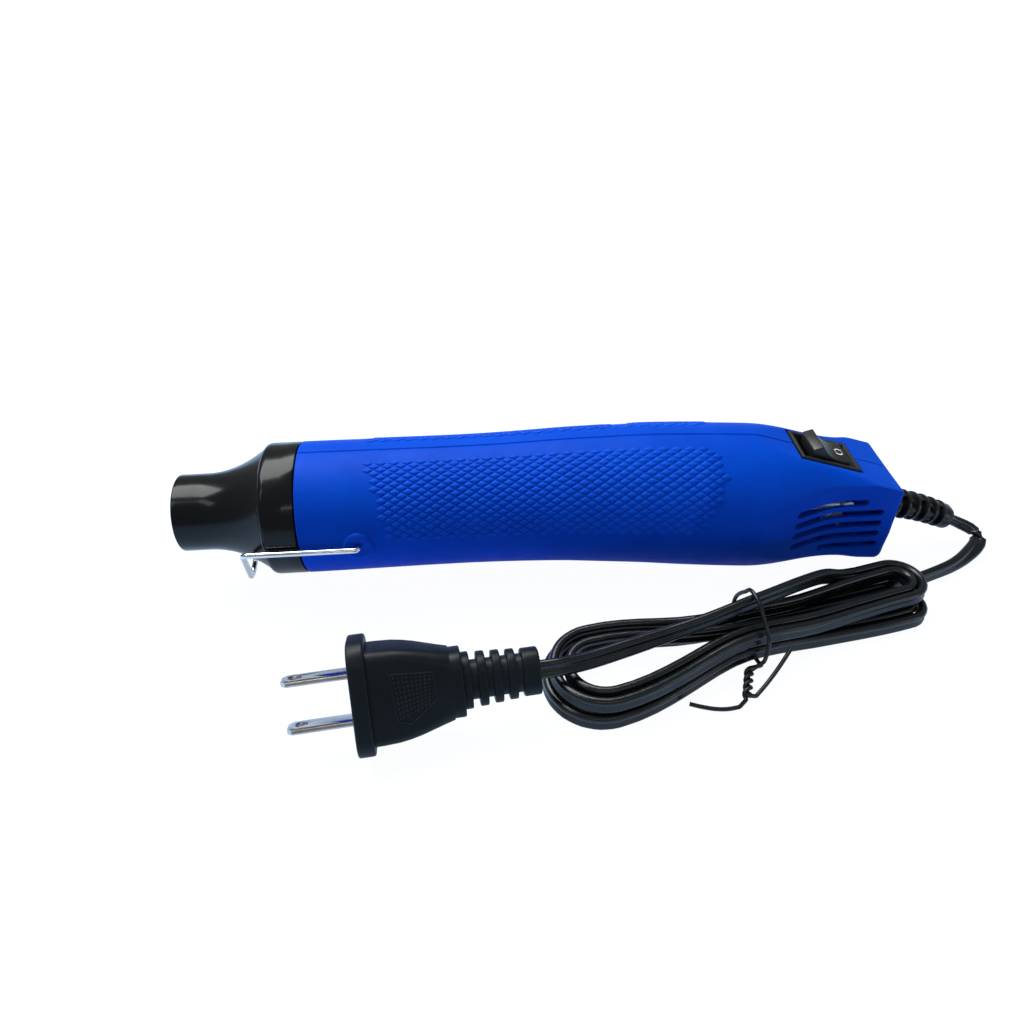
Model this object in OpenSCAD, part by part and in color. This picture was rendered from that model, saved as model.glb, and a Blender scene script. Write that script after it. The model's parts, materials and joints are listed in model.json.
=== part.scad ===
// Embossing heat tool: a slim hand-held hot air tool with a metal nozzle,
// a two-half moulded housing, a folding wire stand, a rocker switch at the tail
// and a flat twin lead that is tied into a hank, with a two-blade plug.
// The tool lies along X with its nozzle towards -X, its seam upright in the XZ plane,
// and rests on its wire stand and on the foot at its tail.

/* [Housing] */
// Length from the nozzle mouth to the tail face
tool_l = 224; // [180:1:270]
// Radius at the front edge of the housing
barrel_r = 20.6; // [20:0.1:23]
// Radius at the slim part behind the heater
waist_r = 20.3; // [20:0.1:22]
// Radius at the swell that fills the palm
palm_r = 23.2; // [22:0.1:25]
// Radius at the neck before the tail
neck_r = 19.4; // [18.5:0.1:21]
// Radius at the foot that the tail rests on
foot_r = 20; // [19.5:0.1:21.5]
// Rounding of the tail edge
tail_round = 3.5; // [1:0.1:5]
// Wall thickness of the housing
wall = 2.2; // [1.8:0.1:2.8]
// First bend of the axis, in degrees
bend_a1 = 2.3; // [0:0.1:3]
// Second bend of the axis, in degrees
bend_a2 = 2.6; // [0:0.1:3]

/* [Tail cuts] */
// Slope of the flat that carries the switch, in degrees
facet_a = 18.2; // [15:0.1:20]
// Height of that flat above the nozzle axis, at the switch centre
facet_z = 11.95; // [11:0.05:13]
// Half width between the scooped sides
scoop_w = 13.7; // [13:0.1:15]
// Flare of the scooped sides towards the palm, in degrees
scoop_a = 20; // [15:1:25]
// Height of one air slot
slot_h = 2.2; // [1.4:0.1:2.6]
// Distance between air slots
slot_pitch = 4.3; // [3.6:0.1:4.6]

/* [Nozzle] */
// Length of the nozzle in front of the housing
nozzle_l = 38.3; // [34:0.1:44]
// Outer radius at the mouth
mouth_r = 12; // [10:0.1:13]
// Length of the straight mouth
mouth_l = 8; // [5:0.5:12]
// Width of the collar behind the flare
collar_w = 10.5; // [8:0.5:13]
// Thickness of the nozzle metal
nozzle_wall = 1; // [0.8:0.1:1.4]
// Length of the spigot inside the housing
spigot_l = 8; // [5:0.5:12]

/* [Stand] */
// Diameter of the stand wire
wire_d = 1.8; // [1.5:0.1:2]
// Distance of the stand axle from the nozzle mouth
axle_x = 56; // [52:0.5:62]
// Distance of the wire corners from the nozzle mouth
corner_x = 22.3; // [20:0.1:26]
// Distance of the stand tip from the nozzle mouth
tip_x = 15.8; // [12:0.1:18]
// Radius of the bosses that hold the stand
boss_r = 5.2; // [4:0.1:6]

/* [Switch] */
// Length of the switch frame
frame_l = 21.2; // [20:0.1:23]
// Width of the switch frame
frame_w = 14.8; // [14:0.1:16]
// Angle that the rocker tips from off to on, in degrees
rocker_travel = 28; // [20:1:30]

/* [Air and heat] */
// Radius of the heater winding
coil_r = 12.5; // [11:0.1:13.5]
// Turns of the heater winding
coil_turns = 8; // [6:1:10]
// Fan blade tip radius
fan_r = 16.6; // [14:0.1:16.8]
// Number of fan blades
fan_blades = 7; // [5:1:9]
// Radius of the motor can
motor_r = 12; // [10:0.1:12.5]

/* [Cord and plug] */
// Wide side of the flat cord
cord_w = 5.4; // [5:0.1:6]
// Narrow side of the flat cord
cord_t = 2.7; // [2.5:0.1:3]
// Length of the cord grip outside the tail
grip_l = 28; // [24:1:32]
// Long side of the plug flange
flange_l = 31; // [28:0.5:33]
// Length of the plug blades
blade_l = 17.5; // [16:0.1:18]
// Distance between the plug blades
blade_pitch = 12.7; // [12:0.1:13]

/* [Hidden] */
$fn = 64;

// Clearances
seat_gap = 0.25;
run_gap = 0.05;
side_gap = 0.3;

// Stations along the axis
front_x = nozzle_l + 0.3;
bend_x1 = tool_l - 104;
bend_x2 = tool_l - 79;
facet_x = tool_l - 22.2;
step_x = 6;
// Distance from the nozzle mouth and radius, from the front edge to the foot
form = [
    [front_x, barrel_r], [tool_l - 139, waist_r], [tool_l - 46, palm_r],
    [tool_l - 15, neck_r], [tool_l - 7, foot_r]];

function ease(t) = (1 - cos(180 * min(max(t, 0), 1))) / 2;
function between(x, a, b) = ease((x - a) / (b - a));
function unit(v) = v / norm(v);
function mix(a, b, t) = a * (1 - t) + b * t;
function sum(v, i = 0) = i < len(v) ? v[i] + sum(v, i + 1) : 0;

// Radius of the housing at a distance along its bent axis, with a rounded tail edge
function form_r(x) = form[0][1]
    + sum([for (i = [1:len(form) - 1]) (form[i][1] - form[i - 1][1]) * between(x, form[i - 1][0], form[i][0])]);
function tail_r(x) = let (over = max(x - (tool_l - tail_round), 0))
    form_r(x) - tail_round + sqrt(max(tail_round * tail_round - over * over, 0.01));
function housing_r(x) = x > tool_l - tail_round ? tail_r(x) : form_r(x);

// Height of the bent axis after the second bend
bend_z2 = -(bend_x2 - bend_x1) * sin(bend_a1);
function axis_z(x) = bend_z2 - (x - bend_x2) * sin(bend_a1 + bend_a2);
rear_stations = [for (i = [0:14]) bend_x2 + i * (tool_l - tail_round - bend_x2) / 14];
// Height of the nozzle axis above the table: the foot stands on it
rest_h = max([for (x = rear_stations) housing_r(x) * cos(bend_a1 + bend_a2) - axis_z(x)]);
mid_l = tool_l / 2;

module on_table() {
    translate([-mid_l, 0, rest_h])
        children();
}

// Solid of revolution about X between two stations of the housing form
module turned(a, b, inset) {
    n = ceil((b - a) / step_x);
    rows = [for (i = [0:n]) let (x = a + i * (b - a) / n) [housing_r(x) - inset, x]];
    rotate([0, 90, 0])
        rotate_extrude()
            polygon(concat([[0, a]], rows, [[0, b]]));
}

// The rounded tail end, with closer stations
module turned_tail(inset) {
    a = tool_l - tail_round;
    rows = [for (i = [0:6]) let (x = a + i * tail_round / 6) [housing_r(x) - inset, x]];
    rotate([0, 90, 0])
        rotate_extrude()
            polygon(concat([[0, a]], rows, [[0, tool_l + 2], [0, a]]));
}

// Axis frame behind the first and the second bend
module behind_bend1() {
    translate([bend_x1, 0, 0])
        rotate([0, bend_a1, 0])
            translate([-bend_x1, 0, 0])
                children();
}

module behind_bend2() {
    behind_bend1()
        translate([bend_x2, 0, 0])
            rotate([0, bend_a2, 0])
                translate([-bend_x2, 0, 0])
                    children();
}

// A small swell at each bend closes the wedge between two straight stretches
bend_swell = 0.15;
// The whole bent barrel, with all its radii and its tail drawn in by inset
module barrel(inset, from_x) {
    intersection() {
        union() {
            turned(from_x, bend_x1, inset);
            translate([bend_x1, 0, 0])
                rotate([0, 90, 0])
                    rotate([0, 0, 30])
                        sphere(r = housing_r(bend_x1) - inset + bend_swell);
            behind_bend1() {
                turned(bend_x1, bend_x2, inset);
                translate([bend_x2, 0, 0])
                    rotate([0, 90, 0])
                        rotate([0, 0, 30])
                            sphere(r = housing_r(bend_x2) - inset + bend_swell);
            }
            behind_bend2() {
                turned(bend_x2, tool_l - tail_round, inset);
                turned_tail(inset);
            }
        }
        translate([0, -60, -60])
            cube([tool_l - inset, 120, 120]);
    }
}

// Frame on the switch flat: X runs down the slope to the tail, Z stands out of the flat
module on_facet() {
    translate([facet_x, 0, facet_z])
        rotate([0, facet_a, 0])
            children();
}

// What the tail cuts take away, drawn in by inset: the switch flat and two scooped sides
module tail_cuts(inset) {
    on_facet()
        translate([-60, -40, -inset])
            cube([120, 80, 40]);
    for (side = [-1, 1])
        scale([1, side, 1])
            translate([0, 0, -60])
                linear_extrude(120)
                    scoop(inset);
}

// Plan of one scooped side: a straight run, a hollow curve and a flared run
module scoop(inset) {
    curve_r = 30;
    bend_at = tool_l - 21.3;
    reach = 40;
    half = scoop_w - inset;
    centre = [bend_at + curve_r * tan(scoop_a / 2), scoop_w + curve_r];
    arc = [for (i = [0:8]) let (a = -90 - i * scoop_a / 8)
        centre + (curve_r + inset) * [cos(a), sin(a)]];
    flare = arc[8] + reach * [-cos(scoop_a), sin(scoop_a)];
    polygon(concat([[tool_l + 10, half]], arc, [flare, [flare[0], 60], [tool_l + 10, 60]]));
}

// One air slot with round ends, cut right across the tail
module slot(x0, x1, z) {
    translate([x0, -40, z - slot_h / 2])
        cube([x1 - x0, 80, slot_h]);
    for (x = [x0, x1])
        translate([x, 40, z])
            rotate([90, 0, 0])
                cylinder(d = slot_h, h = 80);
}

slot_ends = [[-33.5, -11.8], [-33.5, -5.8], [-33.5, -5.4], [-33.3, -5.2], [-22.4, -4.8]];
module air_slots() {
    for (i = [0:4])
        slot(tool_l + slot_ends[i][0], tool_l + slot_ends[i][1], 1.2 - i * slot_pitch);
}

// Housing screw places: distance from the tail face and height
screw_at = [[-86, 15.2], [-86, -16.2], [-43, 7], [-41, -19.6]];
post_r = 3;
screw_shank_r = 1.15;
screw_head_r = 2.4;
head_seat = 5;

module screw_posts() {
    intersection() {
        for (p = screw_at)
            translate([tool_l + p[0], 30, p[1]])
                rotate([90, 0, 0])
                    cylinder(r = post_r, h = 60);
        barrel(wall / 2, front_x);
    }
}

module screw_holes() {
    for (p = screw_at)
        translate([tool_l + p[0], 0, p[1]]) {
            rotate([90, 0, 0])
                cylinder(r = screw_shank_r + run_gap, h = 9);
            rotate([-90, 0, 0])
                cylinder(r = screw_shank_r + run_gap, h = 20);
            translate([0, head_seat, 0])
                rotate([-90, 0, 0])
                    cylinder(r = screw_head_r + seat_gap, h = 30);
        }
}

// Ring ribs inside the housing that carry the sleeve, the fan duct and the motor bracket
spigot_r = min(barrel_r - seat_gap, housing_r(nozzle_l + spigot_l) - 0.2) - wall;
sleeve_r = min(spigot_r - nozzle_wall, min(waist_r, barrel_r) - wall - 0.3) - seat_gap;
sleeve_x0 = nozzle_l - collar_w + 0.5;
sleeve_x1 = tool_l - 124;
duct_x0 = tool_l - 116;
duct_x1 = tool_l - 99.3;
duct_r = housing_r(duct_x0) - wall - seat_gap;
bracket_x = tool_l - 99;
motor_x = tool_l - 97;
motor_l = 26;
rotor_r = motor_r - 3.4;
rib_places = [
    [sleeve_x1 - 2, 2, sleeve_r + seat_gap], [duct_x0 - 2.3, 2, duct_r - 1],
    [bracket_x + 2.3, 1.8, motor_r + 5]];
module ring_ribs() {
    for (p = rib_places)
        difference() {
            intersection() {
                barrel(wall / 2, front_x);
                translate([p[0], -40, -40])
                    cube([p[1], 80, 80]);
            }
            translate([p[0] - 1, 0, 0])
                rotate([0, 90, 0])
                    cylinder(r = p[2], h = p[1] + 2);
        }
}

// Stand seat: flat-faced bosses with an axle hole
wire_r = wire_d / 2;
boss_y = barrel_r + 0.15;
leg_y = boss_y + seat_gap + wire_r + 0.2;
stub_y = barrel_r - wall - 0.4;
module bosses() {
    for (side = [-1, 1])
        translate([axle_x, side * (boss_y - wall), 0])
            rotate([-90 * side, 0, 0])
                cylinder(r = boss_r, h = wall);
}

// Cord way out of the tail
grip_z = -9.3;
grip_a = 8;
grip_turn = 20;
neck_w = 8.6;
neck_h = 7.6;
module pill(w, h) {
    square([w - h, h], center = true);
    for (side = [-1, 1])
        translate([side * (w - h) / 2, 0])
            circle(d = h);
}

// Frame at the cord hole: X leaves the tail, drooping a little
module at_grip() {
    translate([tool_l, 0, grip_z])
        rotate([0, grip_a, 0])
            children();
}

// Flat profile standing across X, wide along Y
module across(x, t) {
    translate([x, 0, 0])
        rotate([90, 0, 90])
            linear_extrude(t)
                children();
}

clamp_x = tool_l - 12;
clamp_z = grip_z + 0.5;
clamp_step = 7.5;
clamp_gap = 0.15;

module shell() {
    difference() {
        union() {
            difference() {
                barrel(0, front_x);
                tail_cuts(0);
                difference() {
                    barrel(wall, front_x - 1);
                    tail_cuts(wall);
                }
            }
            screw_posts();
            ring_ribs();
            bosses();
        }
        screw_holes();
        air_slots();
        // Stand axle holes
        for (side = [-1, 1])
            translate([axle_x, side * (barrel_r + 5), 0])
                rotate([90 * side, 0, 0])
                    cylinder(r = wire_r + run_gap, h = 12);
        // Recess and opening for the switch
        on_facet() {
            translate([-frame_l / 2 - 0.9, -frame_w / 2 - 0.8, -pocket_d])
                cube([frame_l + 1.8, frame_w + 1.6, 10]);
            translate([-body_l / 2 - side_gap, -body_w / 2 - side_gap, -wall * 2])
                cube([body_l + side_gap * 2, body_w + side_gap * 2, wall * 2 + 1]);
        }
        at_grip()
            across(-8, 20)
                pill(neck_w + 0.3, neck_h + 0.3);
    }
}

module housing_left() {
    color("royalblue")
        on_table()
            intersection() {
                shell();
                translate([0, 0, -50])
                    cube([tool_l + 20, 60, 100]);
            }
}

module housing_right() {
    color("royalblue")
        on_table() {
            intersection() {
                shell();
                translate([0, -60, -50])
                    cube([tool_l + 20, 60, 100]);
            }
            clamp_posts();
        }
}

// Two posts inside the right half that the cord clamp is screwed to, and a saddle for the cord
module clamp_posts() {
    translate([clamp_x - 2, wall / 2 - scoop_w, clamp_z - cord_w / 2])
        cube([4, scoop_w - wall / 2 - cord_t / 2 - clamp_gap, cord_w]);
    for (side = [-1, 1])
        translate([clamp_x, 0, clamp_z + side * clamp_step])
            rotate([90, 0, 0])
                difference() {
                    translate([0, 0, -cord_t / 2])
                        cylinder(r = 2.4, h = scoop_w - wall / 2 + cord_t / 2);
                    translate([0, 0, -cord_t])
                        cylinder(r = 0.85, h = 10);
                }
}

module housing_screws() {
    color("silver")
        on_table()
            for (p = screw_at)
                translate([tool_l + p[0], 0, p[1]]) {
                    translate([0, head_seat, 0])
                        rotate([-90, 0, 0])
                            cylinder(r = screw_head_r, h = 1.8);
                    translate([0, head_seat, 0])
                        rotate([90, 0, 0])
                            cylinder(r = screw_shank_r, h = head_seat + 8);
                }
}

// Nozzle: straight mouth, curved flare, rounded collar and a spigot in the housing
shoulder_x = nozzle_l - collar_w;
function flare_r(x) = let (t = (x - mouth_l) / (shoulder_x - mouth_l))
    mouth_r + (barrel_r - 1.1 - mouth_r) * t * t;
function bore_r(x) = min((x < mouth_l ? mouth_r : flare_r(x)) - nozzle_wall, spigot_r - nozzle_wall);
module nozzle() {
    outer = concat(
        [[mouth_r - 0.3, 0], [mouth_r, 0.3], [mouth_r, mouth_l]],
        [for (i = [1:9]) let (x = mouth_l + i * (shoulder_x - mouth_l) / 9) [flare_r(x), x]],
        [for (i = [1:4]) [barrel_r - 1.1 + 1.1 * sin(i * 22.5), shoulder_x + 3 * (1 - cos(i * 22.5))]],
        [[barrel_r, nozzle_l - 0.4], [barrel_r - 0.4, nozzle_l], [spigot_r, nozzle_l],
            [spigot_r, nozzle_l + spigot_l]]);
    inner = [for (i = [0:10]) let (x = (10 - i) / 10 * shoulder_x) [bore_r(x), x]];
    color("black")
        on_table()
            rotate([0, 90, 0])
                rotate_extrude()
                    polygon(concat(outer, [[spigot_r - nozzle_wall, nozzle_l + spigot_l]], inner));
}

// Heater
sleeve_wall = 0.6;
disc_r = sleeve_r - sleeve_wall - side_gap;
coil_wire_r = 0.45;
board_h = coil_r - coil_wire_r - side_gap;
board_t = 0.7;
disc_x = [sleeve_x0 + 2, sleeve_x1 - 10];
module mica_sleeve() {
    color("tan")
        on_table()
            translate([sleeve_x0, 0, 0])
                rotate([0, 90, 0])
                    difference() {
                        cylinder(r = sleeve_r, h = sleeve_x1 - sleeve_x0);
                        translate([0, 0, -1])
                            cylinder(r = sleeve_r - sleeve_wall, h = sleeve_x1 - sleeve_x0 + 2);
                    }
}

board_x0 = sleeve_x0 + 1;
board_x1 = sleeve_x1 - 8;
board_mid = (board_x0 + board_x1) / 2;
module mica_board_upright() {
    color("wheat")
        on_table()
            difference() {
                translate([board_x0, -board_t / 2, -board_h])
                    cube([board_x1 - board_x0, board_t, board_h * 2]);
                translate([board_x0 - 1, -board_t, -board_t / 2 - run_gap])
                    cube([board_mid - board_x0 + 1.1, board_t * 2, board_t + run_gap * 2]);
            }
}

module mica_board_level() {
    color("wheat")
        on_table()
            difference() {
                translate([board_x0, -board_h, -board_t / 2])
                    cube([board_x1 - board_x0, board_h * 2, board_t]);
                translate([board_mid - 0.1, -board_t / 2 - run_gap, -board_t])
                    cube([board_x1 - board_mid + 1.1, board_t + run_gap * 2, board_t * 2]);
            }
}

module mica_discs() {
    color("tan")
        on_table()
            for (x = disc_x)
                difference() {
                    translate([x, 0, 0])
                        rotate([0, 90, 0])
                            cylinder(r = disc_r, h = 1);
                    translate([x - 1, -board_h - 0.2, -board_t / 2 - run_gap])
                        cube([3, board_h * 2 + 0.4, board_t + run_gap * 2]);
                    translate([x - 1, -board_t / 2 - run_gap, -board_h - 0.2])
                        cube([3, board_t + run_gap * 2, board_h * 2 + 0.4]);
                    for (a = [45:90:315])
                        rotate([a, 0, 0])
                            translate([x - 1, 0, 7.5])
                                rotate([0, 90, 0])
                                    cylinder(r = 4, h = 3);
                }
}

// Closed tube along points, with a section given as [side, up] offsets and a wide
// direction for each ring
function heading(p, i) = unit(p[min(i + 1, len(p) - 1)] - p[max(i - 1, 0)]);
function ring(p, wide, section, i) = let (
        t = heading(p, i),
        side = unit(cross(t, wide[i])),
        up = cross(side, t))
    [for (s = section) p[i] + s[0] * side + s[1] * up];
module swept(p, wide, section) {
    n = len(p);
    m = len(section);
    points = [for (i = [0:n - 1]) each ring(p, wide, section, i)];
    sides = [for (i = [0:n - 2]) for (j = [0:m - 1])
        let (a = i * m + j, b = i * m + (j + 1) % m) each [[a, b + m, b], [a, a + m, b + m]]];
    first = [for (j = [1:m - 2]) [0, j, j + 1]];
    last = [for (j = [1:m - 2]) [(n - 1) * m, (n - 1) * m + j + 1, (n - 1) * m + j]];
    polyhedron(points = points, faces = concat(sides, first, last), convexity = 12);
}

function round_section(r, m) = [for (j = [0:m - 1]) r * [cos(j * 360 / m), -sin(j * 360 / m)]];
function all_same(n, v) = [for (i = [0:n - 1]) v];
// A direction carried along a path without twist, from its value at the start
function carried(p, w, i = 0) = i < len(p)
    ? let (t = heading(p, i), v = unit(w - t * (t * w))) concat([v], carried(p, v, i + 1))
    : [];

// Heater winding round the crossed boards
coil_rings = 18;
coil_x0 = disc_x[0] + 4;
coil_x1 = disc_x[1] - 3;
module heater_coil() {
    n = coil_turns * coil_rings;
    path = [for (i = [0:n]) [
        coil_x0 + (coil_x1 - coil_x0) * i / n,
        coil_r * cos(i * 360 / coil_rings + 20),
        coil_r * sin(i * 360 / coil_rings + 20)]];
    color("dimgray")
        on_table()
            swept(path, all_same(n + 1, [1, 0, 0]), round_section(coil_wire_r, 6));
}

module thermal_cutout() {
    color("silver")
        on_table()
            translate([disc_x[1] + 1.3, 2.2, -6.5])
                union() {
                    cube([3.4, 8, 5]);
                    translate([1.2, 2, 5])
                        cube([1, 4, 4]);
                }
}

// Path with a round bend at each inner point
function bend_arc(prev, p, next, bend) = let (
        a = unit(p - prev), b = unit(next - p), turn = acos(a * b), out = -unit(b - a * (a * b)),
        centre = p - a * bend * tan(turn / 2) - out * bend, steps = ceil(turn / 18))
    [for (k = [0:steps]) centre + bend * (out * cos(turn * k / steps) + a * sin(turn * k / steps))];
function rounded(p, bends) = [
    p[0], for (i = [1:len(p) - 2]) each bend_arc(p[i - 1], p[i], p[i + 1], bends[i]), p[len(p) - 1]];
module bent_wire(p, bends, r, wide, sides) {
    path = rounded(p, bends);
    swept(path, carried(path, wide), round_section(r, sides));
}

// Fan and motor
shaft_r = 1;
hub_x = duct_x0 + 4;
hub_l = 10;
module fan_duct() {
    color("dimgray")
        on_table()
            translate([duct_x0, 0, 0])
                rotate([0, 90, 0])
                    difference() {
                        cylinder(r = duct_r, h = duct_x1 - duct_x0);
                        translate([0, 0, -1])
                            cylinder(r = duct_r - 1, h = duct_x1 - duct_x0 + 2);
                    }
}

module fan_impeller() {
    color("ivory")
        on_table()
            difference() {
                union() {
                    translate([hub_x, 0, 0])
                        rotate([0, 90, 0])
                            cylinder(r = 4.5, h = hub_l);
                    intersection() {
                        translate([hub_x, 0, 0])
                            rotate([0, 90, 0])
                                cylinder(r = fan_r, h = hub_l);
                        for (i = [0:fan_blades - 1])
                            rotate([i * 360 / fan_blades, 0, 0])
                                translate([hub_x + hub_l / 2, 0, 3.5])
                                    rotate([0, 0, 38])
                                        translate([-8, -0.6, 0])
                                            cube([16, 1.2, fan_r]);
                    }
                }
                translate([hub_x - 1, 0, 0])
                    rotate([0, 90, 0])
                        cylinder(r = shaft_r, h = hub_l + 2);
            }
}

module motor_shaft() {
    color("silver")
        on_table()
            rotate([0, 90, 0]) {
                translate([0, 0, hub_x])
                    cylinder(r = shaft_r, h = motor_x + motor_l + 1.5 - hub_x);
                translate([0, 0, motor_x + 4])
                    cylinder(r = rotor_r, h = 14);
                translate([0, 0, motor_x + 19.5])
                    cylinder(r = 3, h = 4);
            }
}

module motor_magnets() {
    color("dimgray")
        on_table()
            for (a = [30, 210])
                translate([motor_x + 3, 0, 0])
                    rotate([0, 90, 0])
                        rotate([0, 0, a])
                            rotate_extrude(angle = 120)
                                translate([rotor_r + 0.5, 0])
                                    square([motor_r - 1 - 0.1 - rotor_r - 0.5, 16]);
}

module motor_can() {
    color("gainsboro")
        on_table()
            translate([motor_x, 0, 0])
                rotate([0, 90, 0])
                    difference() {
                        union() {
                            cylinder(r = motor_r, h = motor_l);
                            translate([0, 0, -2])
                                cylinder(r = 3.2, h = 3);
                        }
                        translate([0, 0, 1.2])
                            cylinder(r = motor_r - 1, h = motor_l);
                        translate([0, 0, -3])
                            cylinder(r = shaft_r + run_gap, h = 6);
                    }
}

module motor_end_cap() {
    color("black")
        on_table()
            translate([motor_x + motor_l, 0, 0])
                rotate([0, 90, 0])
                    difference() {
                        union() {
                            cylinder(r = motor_r, h = 2.2);
                            translate([0, 0, -1.5])
                                cylinder(r = motor_r - 1 - run_gap, h = 2);
                        }
                        translate([0, 0, -2])
                            cylinder(r = shaft_r + run_gap, h = 3.8);
                    }
}

module motor_bracket() {
    rim_r = housing_r(bracket_x) - wall - side_gap;
    color("dimgray")
        on_table()
            translate([bracket_x, 0, 0])
                rotate([0, 90, 0]) {
                    difference() {
                        cylinder(r = rim_r, h = 2);
                        translate([0, 0, -1])
                            cylinder(r = rim_r - 1.6, h = 4);
                    }
                    difference() {
                        union() {
                            cylinder(r = motor_r + 1.8, h = 8);
                            for (a = [0:60:300])
                                rotate([0, 0, a])
                                    translate([motor_r + 1, -1, 0])
                                        cube([rim_r - motor_r - 1.8, 2, 2]);
                        }
                        translate([0, 0, 2 - side_gap])
                            cylinder(r = motor_r + 0.2, h = 10);
                        translate([0, 0, -1])
                            cylinder(r = motor_r - 2, h = 10);
                    }
                }
}

board_at = motor_x + motor_l + 2.2 + side_gap;
module rectifier_board() {
    color("seagreen")
        on_table()
            translate([board_at, -10, -8])
                cube([1.6, 20, 16]);
}

module rectifier_diodes() {
    color("black")
        on_table()
            for (z = [-5.4, -1.8, 1.8, 5.4])
                translate([board_at + 1.6 + 1.7, 0, z]) {
                    rotate([90, 0, 0]) {
                        cylinder(r = 1.35, h = 5.2, center = true);
                        cylinder(r = 0.35, h = 10, center = true);
                    }
                    for (y = [-4.6, 4.6])
                        translate([-1.7, y, 0])
                            rotate([0, 90, 0])
                                cylinder(r = 0.34, h = 1.7);
                }
}

// Switch, in the frame of the switch flat
pocket_d = 1;
frame_t = 1.4;
body_l = 18.6;
body_w = 12.8;
body_d = 13;
rocker_l = 15.6;
rocker_w = 10.6;
well_l = 17.8;
well_w = 11.2;
pivot_z = -1.6;
floor_z = -12;
frame_top = frame_t - pocket_d;
module switch_frame() {
    color("black")
        on_table()
            on_facet()
                difference() {
                    union() {
                        translate([-frame_l / 2, -frame_w / 2, -pocket_d])
                            cube([frame_l, frame_w, frame_t]);
                        translate([-body_l / 2, -body_w / 2, -pocket_d - body_d])
                            cube([body_l, body_w, body_d + 0.5]);
                    }
                    translate([-well_l / 2, -well_w / 2, floor_z])
                        cube([well_l, well_w, 20]);
                    translate([0, 10, pivot_z])
                        rotate([90, 0, 0])
                            cylinder(r = 1.2 + run_gap, h = 20);
                    for (x = terminal_x)
                        translate([x - 0.4, -2.4, floor_z - 5])
                            cube([0.8, 4.8, 10]);
                }
}

rocker_rest = rocker_travel / 2;
// Rocker in its middle position: a hollowed top, cut-back ends and a narrow root
module rocker_profile() {
    half = rocker_l / 2;
    top = [for (i = [-8:8]) [i * half / 8, 1.5 + 1.7 * (i / 8) * (i / 8)]];
    polygon(concat(top, [[half - 0.3, 0.6], [5, -3.4], [-5, -3.4], [-half + 0.3, 0.6]]));
}

module switch_rocker() {
    color("black")
        on_table()
            on_facet()
                translate([0, 0, pivot_z])
                    rotate([0, rocker_rest, 0])
                        translate([0, 0, -pivot_z])
                            difference() {
                                union() {
                                    translate([0, rocker_w / 2, 0])
                                        rotate([90, 0, 0])
                                            linear_extrude(rocker_w)
                                                rocker_profile();
                                    translate([0, body_w / 2 - 0.1, pivot_z])
                                        rotate([90, 0, 0])
                                            cylinder(r = 1.2, h = body_w - 0.2);
                                }
                                translate([0, 0, -6])
                                    cylinder(r = 1.3 + run_gap, h = 5);
                            }
}

module switch_plunger() {
    color("ivory")
        on_table()
            on_facet()
                translate([0, 0, pivot_z])
                    rotate([0, rocker_rest, 0])
                        translate([0, 0, -pivot_z - 7.2]) {
                            cylinder(r = 1.3, h = 5.8);
                            sphere(r = 1.3);
                        }
}

// Rocking contact: it tips the other way from the rocker
contact_z = -10.1;
contact_ratio = -0.4;
terminal_x = [-6.4, 0, 6.4];
module switch_contact() {
    color("gold")
        on_table()
            on_facet()
                translate([0, 0, contact_z])
                    rotate([0, rocker_rest * contact_ratio, 0])
                        translate([-5, -1.5, -0.25])
                            cube([10, 3, 0.5]);
}

module switch_terminals() {
    color("gold")
        on_table()
            on_facet()
                for (x = terminal_x)
                    translate([x - 0.4, -2.4, floor_z - 9])
                        difference() {
                            cube([0.8, 4.8, 9 + (x == 0 ? 1.3 : 0.4)]);
                            translate([-1, 2.4, 2.2])
                                rotate([0, 90, 0])
                                    cylinder(r = 0.9, h = 3);
                        }
}

// Inner leads: from the clamp to the switch, from the switch to the board and on to the heater
lead_r = 0.9;
lead_wide = [0.3, 1, -0.2];
module inner_leads() {
    color("white")
        on_table() {
            bent_wire([
                [clamp_x - 4, 0, clamp_z + 1.3], [clamp_x - 7, 0.6, clamp_z + 1.3],
                [clamp_x - 9, 4.6, clamp_z - 1.5], [clamp_x - 14, 5, clamp_z - 1.5],
                [clamp_x - 16, 4, clamp_z + 1]], [0, 1.6, 1.6, 1.6, 0], lead_r, lead_wide, 8);
            bent_wire([
                [facet_x - 8, 2.2, -5.2], [facet_x - 16, 3.6, -9], [board_at + 8, 5, -10.5],
                [board_at + 2.2, 7.6, -9.2]], [0, 3, 3, 0], lead_r, lead_wide, 8);
            bent_wire([
                [board_at + 2.4, -8.6, -9.2], [board_at - 4, -12, -9.5], [bracket_x + 9, -13, -8.5],
                [bracket_x + 5, -16.2, -5.4]], [0, 3, 3, 0], lead_r, lead_wide, 8);
            bent_wire([
                [clamp_x - 4, 0, clamp_z - 1.3], [clamp_x - 7, -1, clamp_z - 1.3], [clamp_x - 7.5, -8.4, -7],
                [clamp_x - 7.5, -8.8, 1.3], [facet_x - 4.4, -9, 1.1], [facet_x - 8, -7.6, -7],
                [board_at + 9, -3, -10.6], [board_at + 2.6, -3, -9.2]],
                [0, 1.6, 2, 1.6, 1.6, 3, 3, 0], lead_r, lead_wide, 8);
        }
}

module cord_clamp() {
    color("ivory")
        on_table()
            difference() {
                translate([clamp_x - 3, cord_t / 2 + clamp_gap, clamp_z - clamp_step - 3])
                    cube([6, 2.4, clamp_step * 2 + 6]);
                for (side = [-1, 1])
                    translate([clamp_x, 0, clamp_z + side * clamp_step])
                        rotate([-90, 0, 0])
                            cylinder(r = 0.8 + run_gap, h = 10);
            }
}

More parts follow.
